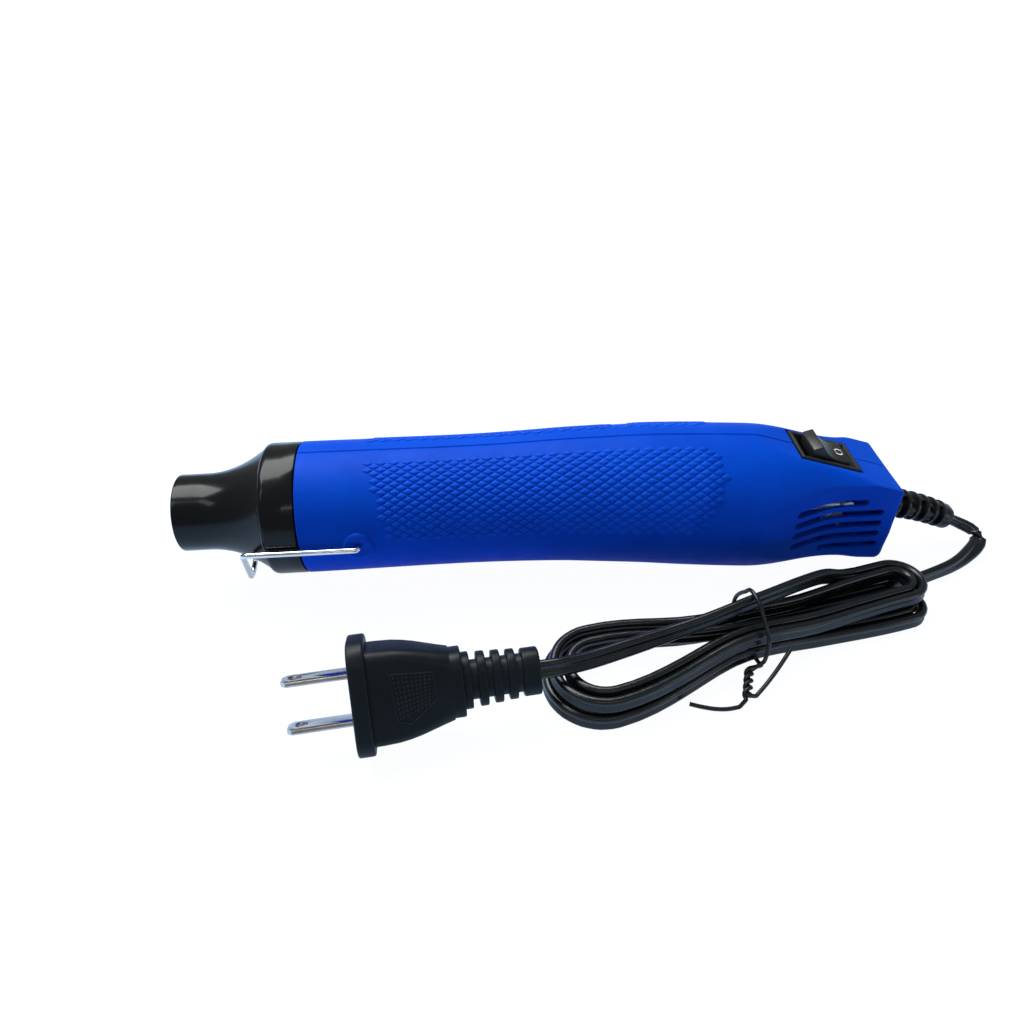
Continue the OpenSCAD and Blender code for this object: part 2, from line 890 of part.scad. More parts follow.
module clamp_screws() {
    color("silver")
        on_table()
            for (side = [-1, 1])
                translate([clamp_x, cord_t / 2 + clamp_gap + 2.4, clamp_z + side * clamp_step]) {
                    rotate([-90, 0, 0])
                        cylinder(r = 1.8, h = 1.3);
                    rotate([90, 0, 0])
                        cylinder(r = 0.8, h = 8);
                }
}

// Stand: the lowest point of the rounded tip touches the table
tip_bend = 5;
tip_low = [tip_x, 0, -rest_h + wire_r];
arm_turn_at = [corner_x, leg_y, 0];
function mirrored(p) = [p[0], -p[1], p[2]];
function tip_turn(b) = acos(unit(b - arm_turn_at) * unit(mirrored(arm_turn_at) - b));
function tip_dir(b) = unit([b[0] - corner_x, 0, b[2]]);
function tip_corner(b, n) = n == 0 ? b
    : tip_corner(tip_low + tip_dir(b) * tip_bend * (1 / cos(tip_turn(b) / 2) - 1), n - 1);
axle_bend = 1.1;
module stand() {
    corner = tip_corner(tip_low, 8);
    pin_end = leg_y - axle_bend;
    right = [[axle_x, 0.4 - pin_end, 0], [axle_x, -leg_y, 0], [corner_x, -leg_y, 0]];
    path = concat(right, [corner], [for (i = [2:-1:0]) mirrored(right[i])]);
    color("silver")
        on_table() {
            bent_wire(path, [0, axle_bend, 2, tip_bend, 2, axle_bend, 0], wire_r * 0.99, [0, 0, 1], 12);
            for (side = [-1, 1])
                translate([axle_x, side * stub_y, 0])
                    rotate([-90 * side, 0, 0])
                        cylinder(r = wire_r, h = pin_end - stub_y);
        }
}

// Cord grip: a flange inside the tail wall, a curved core, ribs and an end block
grip_r = grip_l / grip_turn * 180 / PI;
grip_ribs = 6;
module grip_arc(a0, turn) {
    rotate([90, 0, 0])
        translate([0, -grip_r])
            rotate([0, 0, 90 - a0 - turn])
                rotate_extrude(angle = turn)
                    translate([grip_r, 0])
                        rotate(90)
                            children();
}

module cord_grip() {
    rib_step = (grip_turn - 3.6) / grip_ribs;
    color("black")
        on_table()
            at_grip() {
                across(-wall - 3.4, 2)
                    pill(12, 10.6);
                across(-wall - 10.5, 8)
                    square([cord_t, cord_w], center = true);
                across(-wall - 1.5, wall + 1.6)
                    pill(neck_w, neck_h);
                grip_arc(0, grip_turn)
                    pill(neck_w - 1, neck_h - 1);
                for (i = [0:grip_ribs - 1])
                    grip_arc(0.75 + i * rib_step, 1.5)
                        pill(10.6 - i * 0.25, 9.2 - i * 0.2);
                grip_arc(grip_turn - 3, 3)
                    pill(9, 7.6);
            }
}

// Cord ends on the table frame
function turn_y(p, a) = [p[0] * cos(a) + p[2] * sin(a), p[1], -p[0] * sin(a) + p[2] * cos(a)];
grip_end = [tool_l - mid_l, 0, grip_z + rest_h]
    + turn_y([grip_r * sin(grip_turn), 0, -grip_r * (1 - cos(grip_turn))], grip_a);
grip_dir = [cos(grip_a + grip_turn), 0, -sin(grip_a + grip_turn)];

// Hank: turns along an outline with two round ends and a drawn-in waist. It winds in on
// the lower layer, climbs along the third far run and winds out on the upper layer.
hank_at = [57, -44.5];
hank_a = 13.6;
hank_half = 62.5;
hank_end_r = [12, 16.5];
hank_waist = 8.3;
hank_step = [3.2, 3.5];
layer_h = cord_w + 0.45;
tie_lift = 1.7;
hank_turns = 4;
hank_rings = 24;
turn_in = 2.125;
function layer_in(s) = turn_in - abs(s - turn_in) + 0.3 * (ease((s - 1.7) / 0.3) - ease((s - 2.25) / 0.3));
function climb(s) = between(s, 2.01, 2.24);
// Half width of the outline at a distance along the hank axis
function hank_w(u) = let (right = u > 0, end_r = right ? hank_end_r[0] : hank_end_r[1],
        run = hank_half - end_r)
    mix(hank_waist, end_r, ease(abs(u) / run));
function hank_pitch(u) = mix(hank_step[0], hank_step[1], ease(abs(u) / 50));
// Point of the winding in the hank's own plan, from the number of turns
function hank_plan(s) = let (
        k = layer_in(s), f = s - floor(s),
        cr = hank_half - hank_end_r[0], cl = -(hank_half - hank_end_r[1]),
        er = hank_end_r[0] - k * hank_step[1], el = hank_end_r[1] - k * hank_step[1])
    f < 0.25 ? let (u = mix(cr, cl, f / 0.25)) [u, hank_w(u) - k * hank_pitch(u)]
    : f < 0.5 ? let (a = 90 + (f - 0.25) * 720) [cl + el * cos(a), el * sin(a)]
    : f < 0.75 ? let (u = mix(cl, cr, (f - 0.5) / 0.25)) [u, -hank_w(u) + k * hank_pitch(u)]
    : let (a = -90 + (f - 0.75) * 720) [cr + er * cos(a), er * sin(a)];
function from_hank(p) = [
    hank_at[0] + p[0] * cos(hank_a) - p[1] * sin(hank_a),
    hank_at[1] + p[0] * sin(hank_a) + p[1] * cos(hank_a), p[2]];
function hank_point(s) = let (q = hank_plan(s))
    from_hank([q[0], q[1], cord_w / 2 + layer_h * climb(s) + tie_lift * (1 - ease(abs(q[0]) / 24))]);
hank_dir = from_hank([-1, 0, 0]) - from_hank([0, 0, 0]);
hank_path = concat(
    [hank_point(0) - hank_dir * cord_w],
    [for (i = [0:hank_turns * hank_rings]) hank_point(i / hank_rings)],
    [hank_point(hank_turns) + hank_dir * cord_w]);
hank_section = [[0.9, -cord_w / 2], [cord_t / 2, 0], [0.9, cord_w / 2], [-0.9, cord_w / 2],
    [-cord_t / 2, 0], [-0.9, -cord_w / 2]];

// Least gap between two turns of the hank, over points on the faces of their tubes
function face_point(i, side, up) = let (
        t = heading(hank_path, i), n = unit(cross(t, [0, 0, 1])))
    hank_path[i] + side * cord_t / 2 * n + [0, 0, up * cord_w / 2];
face_sides = [[1, 0], [-1, 0]];
module hank_gap() {
    n = len(hank_path);
    level = [for (i = [0:n - 1]) for (j = [i + 14:1:n - 1])
        if (abs(hank_path[i][2] - hank_path[j][2]) < cord_w)
            for (a = face_sides, b = face_sides) norm(face_point(i, a[0], 0) - face_point(j, b[0], 0))];
    stacked = [for (i = [0:n - 1]) for (j = [i + 14:1:n - 1])
        if (norm([hank_path[i][0] - hank_path[j][0], hank_path[i][1] - hank_path[j][1]]) < cord_t)
            abs(hank_path[i][2] - hank_path[j][2]) - cord_w];
    echo(hank_least_gap_beside = min(level), hank_least_gap_stacked = min(stacked));
}

module cord_hank() {
    hank_gap();
    color("black")
        swept(hank_path, all_same(len(hank_path), [0, 0, 1]), hank_section);
}

// Smooth curve through points, with a number of steps for each span
function curve_point(p, i, t) = let (
        a = p[max(i - 1, 0)], b = p[i], c = p[i + 1], d = p[min(i + 2, len(p) - 1)])
    0.5 * ((2 * b) + (c - a) * t + (2 * a - 5 * b + 4 * c - d) * t * t + (3 * b - a - 3 * c + d) * t * t * t);
function smooth(p, steps) = [
    for (i = [0:len(p) - 2]) for (k = [0:steps - 1]) curve_point(p, i, k / steps), p[len(p) - 1]];
function cord_section() = [[0.75, -2.7], [1.35, -1.6], [1.35, 1.6], [0.75, 2.7],
    [-0.75, 2.7], [-1.35, 1.6], [-1.35, -1.6], [-0.75, -2.7]];
function fitted(s) = [for (q = s) [q[0] * cord_t / 2.7, q[1] * cord_w / 5.4]];

// Free lead from the grip to the hank
lead_points = [
    [148, -3.5, 5.6], [147.8, -8, 4.4], [142, -12.6, 3.2], [134, -14.6, 2.8], [124, -16, 2.75], [114, -18.2, 2.75]];
module cord_lead() {
    p = concat([grip_end, grip_end + grip_dir * cord_w * 0.5], smooth(concat([grip_end + grip_dir * cord_w],
        lead_points, [hank_path[0] - hank_dir * cord_w]), 3), [hank_path[0]]);
    wide = [for (i = [0:len(p) - 1]) mix([0, 1, 0], [0, 0, 1], ease((i - 1) / 7))];
    color("black")
        swept(p, wide, fitted(cord_section()));
}

// Plug, in its own frame: X runs from the blades to the cord, Z along the flange
plug_at = [-55.2, -66.6, 15.68];
plug_a = 6;
plug_roll = -32;
plug_body_l = 29;
plug_relief_l = 20.7;
flange_t = 4.6;
module at_plug() {
    translate(plug_at)
        rotate([0, 0, plug_a])
            rotate([plug_roll, 0, 0])
                children();
}

// Rounded slab across X: long side along Z
module slab(x, t, l, w, r) {
    translate([x, 0, 0])
        rotate([0, 90, 0])
            linear_extrude(t) {
                square([l, w - r * 2], center = true);
                square([l - r * 2, w], center = true);
                for (a = [-1, 1], b = [-1, 1])
                    translate([a * (l / 2 - r), b * (w / 2 - r)])
                        circle(r, $fn = 24);
            }
}

module plug_body() {
    color("black")
        at_plug() {
            slab(0, flange_t, flange_l, 18, 6);
            hull() {
                slab(flange_t - 0.5, 0.5, 25.4, 14.4, 5);
                slab(14, 0.1, 24, 14, 5);
                slab(21, 0.1, 20.6, 13, 5);
                slab(plug_body_l - 3.4, 0.1, 18.6, 12.4, 4.5);
            }
            slab(plug_body_l - 3.5, 3.5, 18.2, 12.4, 4.4);
            slab(plug_body_l - 0.1, plug_relief_l + 0.1, 10.6, 7.2, 3.2);
            slab(plug_body_l, 2.2, 15, 10.4, 4.4);
            for (i = [0:2])
                slab(plug_body_l + 4 + i * 4, 2.3, 14.4 - i * 0.5, 10 - i * 0.3, 4.2);
            slab(plug_body_l + plug_relief_l - 4.8, 4.8, 12.8, 8.8, 3.8);
        }
}

module plug_blades() {
    hole_at = 3.6;
    color("silver")
        at_plug()
            for (side = [-1, 1])
                difference() {
                    translate([-blade_l, -3.175, side * blade_pitch / 2 - 0.75])
                        cube([blade_l, 6.35, 1.5]);
                    translate([-blade_l + hole_at, 0, side * blade_pitch / 2 - 2])
                        cylinder(d = 3.2, h = 4);
                    for (edge = [-1, 1])
                        translate([-blade_l, edge * 3.175, side * blade_pitch / 2])
                            rotate([0, 0, edge * -40])
                                cube([6, 2.4, 4], center = true);
                }
}

// Tail from the hank over its turns to the plug
plug_dir = [cos(plug_a), sin(plug_a), 0];
plug_end = plug_at + plug_dir * (plug_body_l + plug_relief_l);
tail_points = [
    [88, -26.2, 11.2], [78, -30.2, 14.8], [68, -37, 16.4], [56, -43, 16.6], [44, -47, 15.8], [32, -50.5, 14.8],
    [20, -54.5, 14.7], [8, -58.4, 14.7]];
module cord_tail() {
    last = hank_path[len(hank_path) - 1];
    p = concat([last], smooth(concat([last + hank_dir * cord_w], tail_points,
        [plug_end + plug_dir * cord_w]), 3), [plug_end]);
    n = len(p);
    long_dir = [sin(plug_a) * sin(plug_roll), -cos(plug_a) * sin(plug_roll), cos(plug_roll)];
    wide = [for (i = [0:n - 1]) mix([0, 0, 1], long_dir, ease((i - n + 12) / 9))];
    color("black")
        swept(p, wide, fitted(cord_section()));
}

// Wire tie: one tail, down the twist, round the hank, back along the twist, the other tail
tie_r = 0.62;
tie_u = 1.5;
twist_r = 0.86;
twist_turns = 2;
twist_from = [56, -54.8, 2.2];
twist_to = [52.8, -64, 1.6];
tie_tail_1 = [[36.4, -64.4, 0.8], [39.5, -65.6, 0.8], [43, -66.6, 0.8], [46.5, -67, 0.9], [50, -66.6, 1]];
tie_tail_2 = [[55.5, -63.6, 1.4], [59.5, -60.2, 2.4], [64, -56, 4], [68.4, -51.8, 7]];
tie_ring = [[-8.9, 3.4], [-9.1, 6], [-9.1, 10], [-8, 13.5], [-4.4, 17.6], [-0.6, 20.4], [3.8, 20.6],
    [6.2, 17.8], [9, 14.2], [10.6, 11], [10.8, 7], [10.8, 3.8], [10.6, 2.2], [9.6, 0.75], [2, 0.75], [-5, 0.75],
    [-8.6, 1]];
module wire_tie() {
    axis = unit(twist_to - twist_from);
    across_1 = unit(cross(axis, [0, 0, 1]));
    across_2 = cross(axis, across_1);
    strand = function (start) [for (i = [0:twist_turns * 12]) let (a = start + i * 30)
        mix(twist_from, twist_to, i / (twist_turns * 12)) + twist_r * (cos(a) * across_1 + sin(a) * across_2)];
    one = strand(90);
    two = strand(-90);
    loop = [for (q = tie_ring) from_hank([tie_u, q[0], q[1]])];
    p = concat(smooth(tie_tail_1, 2), [for (i = [len(one) - 1:-1:0]) one[i]], smooth(loop, 2), two,
        smooth(tie_tail_2, 2));
    color("black")
        swept(p, carried(p, [0, 0, 1]), round_section(tie_r, 6));
}

housing_left();
housing_right();
housing_screws();
nozzle();
mica_sleeve();
mica_board_upright();
mica_board_level();
mica_discs();
heater_coil();
thermal_cutout();
fan_duct();
fan_impeller();
motor_shaft();
motor_magnets();
motor_can();
motor_end_cap();
motor_bracket();
rectifier_board();
rectifier_diodes();
switch_frame();
switch_rocker();
switch_plunger();
switch_contact();
switch_terminals();
inner_leads();
cord_clamp();
clamp_screws();
stand();
cord_grip();
cord_lead();
cord_hank();
cord_tail();
wire_tie();
plug_body();
plug_blades();
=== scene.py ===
import json
import math

import bmesh
import bpy
from mathutils import Matrix, Vector


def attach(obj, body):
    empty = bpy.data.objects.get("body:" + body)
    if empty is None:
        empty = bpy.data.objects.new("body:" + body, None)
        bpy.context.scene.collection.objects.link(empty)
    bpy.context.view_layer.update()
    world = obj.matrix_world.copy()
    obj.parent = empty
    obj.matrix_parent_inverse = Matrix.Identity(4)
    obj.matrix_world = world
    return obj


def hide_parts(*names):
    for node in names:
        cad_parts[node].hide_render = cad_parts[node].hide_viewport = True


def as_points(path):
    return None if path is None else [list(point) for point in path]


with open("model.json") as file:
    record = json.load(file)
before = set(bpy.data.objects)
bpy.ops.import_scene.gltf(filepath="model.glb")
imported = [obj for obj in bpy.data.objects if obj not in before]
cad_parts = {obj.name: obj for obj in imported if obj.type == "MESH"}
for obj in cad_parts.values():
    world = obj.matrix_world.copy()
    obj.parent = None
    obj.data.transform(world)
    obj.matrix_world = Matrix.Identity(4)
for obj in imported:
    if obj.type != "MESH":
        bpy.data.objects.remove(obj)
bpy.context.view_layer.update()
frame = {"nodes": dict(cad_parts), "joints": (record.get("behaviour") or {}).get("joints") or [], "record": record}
cadNodes = frame["nodes"]
record = frame["record"]
mm = 0.001
axleZ = next(j for j in frame["joints"] if j["name"] == "stand_swing")["pos_m"][2] / mm
toolL = 224.0
midL = toolL / 2
print("frame loaded, nozzle axis", round(axleZ, 3), "mm above the table")


def fromTool(x, y, z):
    return Vector(((x - midL) * mm, y * mm, (z + axleZ) * mm))


def ease(t):
    return (1 - math.cos(math.pi * min(max(t, 0.0), 1.0))) / 2


def mix(a, b, t):
    return a * (1 - t) + b * t


# Camera at the photograph's viewing angle, in millimetres and radians
viewpoint = {"x": -20.15, "y": -203.51, "above": 158.62, "yaw": 0.0546, "pitch": 0.6805, "roll": 0.0162,
             "lens": 28.449, "sensor": 36.0}


# The view leans by yaw, pitch and roll; above is measured from the nozzle's axis
def makeCamera(v):
    cy, sy = math.cos(v["yaw"]), math.sin(v["yaw"])
    cp, sp = math.cos(v["pitch"]), math.sin(v["pitch"])
    forward = Vector((sy * cp, cy * cp, -sp))
    level = Vector((cy, -sy, 0))
    below = forward.cross(level)
    right = level * math.cos(v["roll"]) + below * math.sin(v["roll"])
    down = below * math.cos(v["roll"]) - level * math.sin(v["roll"])
    cam = bpy.data.objects.new("camera", bpy.data.cameras.new("camera"))
    cam.data.lens = v["lens"]
    cam.data.sensor_width = v["sensor"]
    cam.data.clip_start = 0.005
    turn = Matrix((right, -down, -forward)).transposed().to_4x4()
    place = Vector((v["x"], v["y"], v["above"] + axleZ)) * mm
    cam.matrix_world = Matrix.Translation(place) @ turn
    bpy.context.scene.collection.objects.link(cam)
    bpy.context.scene.camera = cam


makeCamera(viewpoint)


# Materials
def filled(node, values):
    for key, value in values.items():
        node.inputs[key].default_value = value
    return node


class Shader:
    def __init__(self, name):
        self.material = bpy.data.materials.new(name)
        self.material.use_nodes = True
        self.tree = self.material.node_tree
        self.main = self.tree.nodes["Principled BSDF"]
        self.place = self.node("ShaderNodeTexCoord").outputs["Object"]

    def node(self, kind, **values):
        made = self.tree.nodes.new(kind)
        for key, value in values.items():
            setattr(made, key, value)
        return made

    def link(self, a, b):
        self.tree.links.new(a, b)

    def noise(self, scale, detail, stretch=None):
        made = filled(self.node("ShaderNodeTexNoise"), {"Scale": scale, "Detail": detail, "Roughness": 0.55})
        source = self.place
        if stretch:
            mapping = filled(self.node("ShaderNodeMapping"), {"Scale": stretch})
            self.link(source, mapping.inputs["Vector"])
            source = mapping.outputs["Vector"]
        self.link(source, made.inputs["Vector"])
        return made.outputs["Fac"]

    def ranged(self, source, low, high, to):
        ends = {"From Min": low, "From Max": high, "To Min": to[0], "To Max": to[1]}
        made = filled(self.node("ShaderNodeMapRange"), ends)
        self.link(source, made.inputs["Value"])
        return made.outputs["Result"]

    def tinted(self, source, a, b):
        made = filled(self.node("ShaderNodeMix", data_type="RGBA"), {"A": (*a, 1), "B": (*b, 1)})
        self.link(source, made.inputs["Factor"])
        return made.outputs["Result"]

    def bump(self, source, depth, under=None):
        made = filled(self.node("ShaderNodeBump"), {"Distance": depth, "Strength": 1.0})
        self.link(source, made.inputs["Height"])
        if under:
            self.link(under, made.inputs["Normal"])
        return made.outputs["Normal"]


# One procedural material: broad patches of two colours, edges made lighter by pointiness, streaky gloss, waves and
# fine grain. The lighter edges are wear on the black parts and a painted highlight along the crests of the blue
# housing
def moulded(name, look):
    s = Shader(name)
    filled(s.main, {"Specular IOR Level": look.get("specular", 0.5), "Coat Weight": look.get("coat", 0.0),
                    "Coat Roughness": look.get("coatRough", 0.1), "Metallic": look.get("metallic", 0.0)})
    broad = s.noise(look.get("broad", 60), 4)
    patch = s.ranged(broad, 0.35, 0.65, (0, 1))
    other = look.get("other") or [c * 0.86 for c in look["base"]]
    colour = s.tinted(patch, look["base"], other)
    # Pointiness lightens the edges: real wear on the switch and plug, and on the blue plastic a painted highlight
    # standing in for light catching the crests
    if look.get("edgeWearAndHighlight"):
        edges = s.node("ShaderNodeNewGeometry").outputs["Pointiness"]
        wornAndLitEdges = s.ranged(edges, 0.53, 0.62, (0, 0.5))
        lighter = filled(s.node("ShaderNodeMix", data_type="RGBA"), {"B": (*look["edgeWearAndHighlight"], 1)})
        s.link(wornAndLitEdges, lighter.inputs["Factor"])
        s.link(colour, lighter.inputs["A"])
        colour = lighter.outputs["Result"]
    s.link(colour, s.main.inputs["Base Color"])
    streak = s.noise(look.get("streak", 220), 5, look.get("stretch"))
    s.link(s.ranged(streak, 0.3, 0.7, look["rough"]), s.main.inputs["Roughness"])
    grain = s.noise(look.get("grain", 2600), 2)
    normal = s.bump(s.noise(look.get("waves", 120), 1), 0.00006)
    s.link(s.bump(grain, look.get("grainDepth", 0.000012), normal), s.main.inputs["Normal"])
    return s.material


looks = {
    # The blue plastic's lighter edge colour is a painted highlight along its crests
    "blue_plastic": {"base": (0.0005, 0.068, 0.6), "other": (0.0005, 0.058, 0.54), "rough": (0.42, 0.54),
                     "specular": 0.05, "grain": 3200, "grainDepth": 0.00001, "edgeWearAndHighlight": (0.01, 0.11, 0.8)},
    "black_metal": {"base": (0.003, 0.004, 0.005), "other": (0.005, 0.007, 0.008), "rough": (0.14, 0.24),
                    "specular": 0.16, "coat": 0.12, "coatRough": 0.07, "grain": 900, "grainDepth": 0.000012},
    "chrome_wire": {"base": (0.8, 0.8, 0.82), "other": (0.66, 0.66, 0.7), "rough": (0.05, 0.14),
                    "metallic": 1.0, "streak": 500, "grainDepth": 0.000004},
    "nickel": {"base": (0.72, 0.7, 0.68), "other": (0.5, 0.46, 0.44), "rough": (0.1, 0.26), "metallic": 1.0,
               "streak": 600, "stretch": (0.15, 1, 1), "grainDepth": 0.000006},
    "black_gloss": {"base": (0.01, 0.012, 0.012), "other": (0.016, 0.019, 0.019), "rough": (0.3, 0.42),
                    "specular": 0.35, "edgeWearAndHighlight": (0.05, 0.055, 0.055)},
    "black_pvc": {"base": (0.003, 0.004, 0.005), "other": (0.006, 0.007, 0.008), "rough": (0.24, 0.38),
                  "specular": 0.4},
    "cord_pvc": {"base": (0.003, 0.005, 0.007), "other": (0.006, 0.009, 0.011), "rough": (0.2, 0.3),
                 "specular": 0.42, "waves": 260},
    "tie_pvc": {"base": (0.004, 0.006, 0.008), "other": (0.009, 0.011, 0.013), "rough": (0.2, 0.32),
                "specular": 0.35},
    "plug_pvc": {"base": (0.003, 0.006, 0.008), "other": (0.005, 0.009, 0.011), "rough": (0.36, 0.52),
                 "specular": 0.2, "grain": 3000, "grainDepth": 0.00002, "edgeWearAndHighlight": (0.03, 0.04, 0.047)},
    "white_pvc": {"base": (0.82, 0.82, 0.8), "other": (0.7, 0.7, 0.67), "rough": (0.3, 0.45)},
    "white_paint": {"base": (0.8, 0.82, 0.82), "other": (0.68, 0.7, 0.7), "rough": (0.4, 0.55)},
    "steel": {"base": (0.58, 0.58, 0.58), "other": (0.45, 0.45, 0.46), "rough": (0.22, 0.4), "metallic": 1.0},
    "mica": {"base": (0.5, 0.4, 0.25), "other": (0.35, 0.28, 0.18), "rough": (0.25, 0.5), "broad": 400},
    "heater_wire": {"base": (0.4, 0.38, 0.36), "other": (0.25, 0.22, 0.2), "rough": (0.3, 0.5),
                    "metallic": 1.0},
    "grey_plastic": {"base": (0.06, 0.06, 0.065), "rough": (0.4, 0.55)},
    "ivory_plastic": {"base": (0.72, 0.7, 0.62), "rough": (0.35, 0.5)},
    "magnet": {"base": (0.05, 0.05, 0.055), "rough": (0.5, 0.7)},
    "zinc_steel": {"base": (0.6, 0.6, 0.58), "other": (0.5, 0.5, 0.49), "rough": (0.25, 0.45),
                   "metallic": 1.0},
    "black_plastic": {"base": (0.015, 0.015, 0.016), "rough": (0.35, 0.5)},
    "board": {"base": (0.05, 0.2, 0.08), "other": (0.04, 0.15, 0.06), "rough": (0.35, 0.5)},
    "brass": {"base": (0.72, 0.5, 0.2), "other": (0.6, 0.4, 0.16), "rough": (0.2, 0.4), "metallic": 1.0},
}
finishes = {name: moulded(name, look) for name, look in looks.items()}
for part in record["subparts"]:
    node = cadNodes[part["node"]]
    node.data.materials.clear()
    node.data.materials.append(finishes[part["material_slot"]])
print("materials made:", len(finishes))


# Shape helpers
def meshObject(name, bm):
    mesh = bpy.data.meshes.new(name)
    bm.to_mesh(mesh)
    bm.free()
    made = bpy.data.objects.new(name, mesh)
    bpy.context.scene.collection.objects.link(made)
    return made


def piece(name, bm, slot, body="tool", stands=(), sharp=35.0, finish=None, doubles=True):
    if doubles:
        bmesh.ops.remove_doubles(bm, verts=bm.verts, dist=1e-8)
    bm.normal_update()
    limit = math.radians(sharp)
    for face in bm.faces:
        face.smooth = True
    for edge in bm.edges:
        edge.smooth = not (edge.is_manifold and edge.calc_face_angle(0.0) > limit)
    made = meshObject(name, bm)
    made.data.materials.append(finishes[finish or slot])
    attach(made, body)
    if stands:
        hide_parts(*stands)
    return made


def outward(bm):
    bmesh.ops.recalc_face_normals(bm, faces=bm.faces)


# A grid whose points are put in place by a function of row and column
def placedGrid(rows, cols, place, ring=False, caps=False):
    bm = bmesh.new()
    bmesh.ops.create_grid(bm, x_segments=rows - 1, y_segments=cols if ring else cols - 1, size=0.5)
    across = cols if ring else cols - 1
    for v in bm.verts:
        i = round((v.co.x + 0.5) * (rows - 1))
        j = round((v.co.y + 0.5) * across)
        v.co = place(i, j % cols if ring else j)
    if ring:
        bmesh.ops.remove_doubles(bm, verts=bm.verts, dist=1e-8)
    if caps:
        bmesh.ops.holes_fill(bm, edges=[e for e in bm.edges if e.is_boundary], sides=0)
    outward(bm)
    return bm


def headings(points):
    n = len(points)
    return [(points[min(i + 1, n - 1)] - points[max(i - 1, 0)]).normalized() for i in range(n)]


def carried(points, start):
    wide, found = Vector(start), []
    for t in headings(points):
        wide = (wide - t * wide.dot(t)).normalized()
        found.append(wide.copy())
    return found


def sweptTube(points, section, wides):
    ways = headings(points)

    def place(i, j):
        t = ways[i]
        side = t.cross(wides[i]).normalized()
        up = side.cross(t)
        return (points[i] + section[j][0] * side + section[j][1] * up) * mm

    return placedGrid(len(points), len(section), place, ring=True, caps=True)


def roundSection(r, n):
    return [(r * math.cos(k * math.tau / n), r * math.sin(k * math.tau / n)) for k in range(n)]


# Catmull curve through points, about one point per step millimetres
def smoothCurve(points, step):
    found = []
    for i in range(len(points) - 1):
        a, b = points[max(i - 1, 0)], points[i]
        c, d = points[i + 1], points[min(i + 2, len(points) - 1)]
        count = max(2, math.ceil((c - b).length / step))
        for k in range(count):
            t = k / count
            found.append(0.5 * (2 * b + (c - a) * t + (2 * a - 5 * b + 4 * c - d) * t * t
                                + (3 * b - a - 3 * c + d) * t * t * t))
    found.append(points[-1].copy())
    return found


def evenly(points, step):
    found, carry = [points[0].copy()], 0.0
    for a, b in zip(points, points[1:]):
        length = (b - a).length
        at = step - carry
        while at < length:
            found.append(a.lerp(b, at / length))
            at += step
        carry = length - (at - step)
    if (found[-1] - points[-1]).length < step * 0.4:
        found.pop()
    found.append(points[-1].copy())
    return found


def roundedPath(points, radii, steps=7):
    found = [points[0]]
    for i in range(1, len(points) - 1):
        before, here, after = points[i - 1], points[i], points[i + 1]
        a, b = (here - before).normalized(), (after - here).normalized()
        turn = a.angle(b)
        out = (a * a.dot(b) - b).normalized()
        centre = here - a * radii[i] * math.tan(turn / 2) - out * radii[i]
        for k in range(steps + 1):
            w = turn * k / steps
            found.append(centre + radii[i] * (out * math.cos(w) + a * math.sin(w)))
    found.append(points[-1])
    return found


def spunRing(profile, origin, axis, steps=96, closed=True):
    bm = bmesh.new()
    verts = [bm.verts.new(Vector((r, 0, h)) * mm) for r, h in profile]
    pairs = list(zip(verts, verts[1:])) + ([(verts[-1], verts[0])] if closed else [])
    edges = [bm.edges.new(p) for p in pairs]
    bmesh.ops.spin(bm, geom=verts + edges, cent=(0, 0, 0), axis=(0, 0, 1), dvec=(0, 0, 0), angle=math.tau,
                   steps=steps, use_merge=True, use_duplicate=False)
    bmesh.ops.remove_doubles(bm, verts=bm.verts, dist=1e-8)
    outward(bm)
    turn = Vector((0, 0, 1)).rotation_difference(Vector(axis)).to_matrix().to_4x4()
    bmesh.ops.transform(bm, matrix=Matrix.Translation(origin) @ turn, verts=bm.verts)
    return bm


# Extrudes faces by a way in metres
def pushed(bm, faces, way):
    grown = bmesh.ops.extrude_face_region(bm, geom=faces)
    verts = [v for v in grown["geom"] if isinstance(v, bmesh.types.BMVert)]
    bmesh.ops.translate(bm, vec=way, verts=verts)


def softened(bm, edges, radius, segments, clamp=False):
    bmesh.ops.bevel(bm, geom=edges, offset=radius * mm, offset_type="OFFSET", segments=segments,
                    profile=0.5, affect="EDGES", material=-1, clamp_overlap=clamp)


def sharpEdges(bm, degrees):
    return [e for e in bm.edges if e.calc_face_angle(0) > math.radians(degrees)]


def roundedBox(size, centre, radius, segments=3):
    bm = bmesh.new()
    bmesh.ops.create_cube(bm, size=1.0)
    bmesh.ops.scale(bm, vec=Vector(size) * mm, verts=bm.verts)
    if radius:
        softened(bm, bm.edges[:], radius, segments)
    bmesh.ops.translate(bm, vec=Vector(centre) * mm, verts=bm.verts)
    return bm


def joined(parts):
    bm = bmesh.new()
    for part in parts:
        held = bpy.data.meshes.new("held")
        part.to_mesh(held)
        part.free()
        bm.from_mesh(held)
        bpy.data.meshes.remove(held)
    return bm


def moved(bm, matrix):
    bmesh.ops.transform(bm, matrix=matrix, verts=bm.verts)
    return bm


def pillSection(w, h, n=16):
    found, r, out = [], h / 2, (w - h) / 2
    for side in (1, -1):
        for k in range(n):
            a = math.pi * (k / (n - 1) - side / 2)
            found.append((side * out + r * math.cos(a), r * math.sin(a)))
    return found


# Cord
cordSize = {"wide": 5.4, "thick": 2.7}
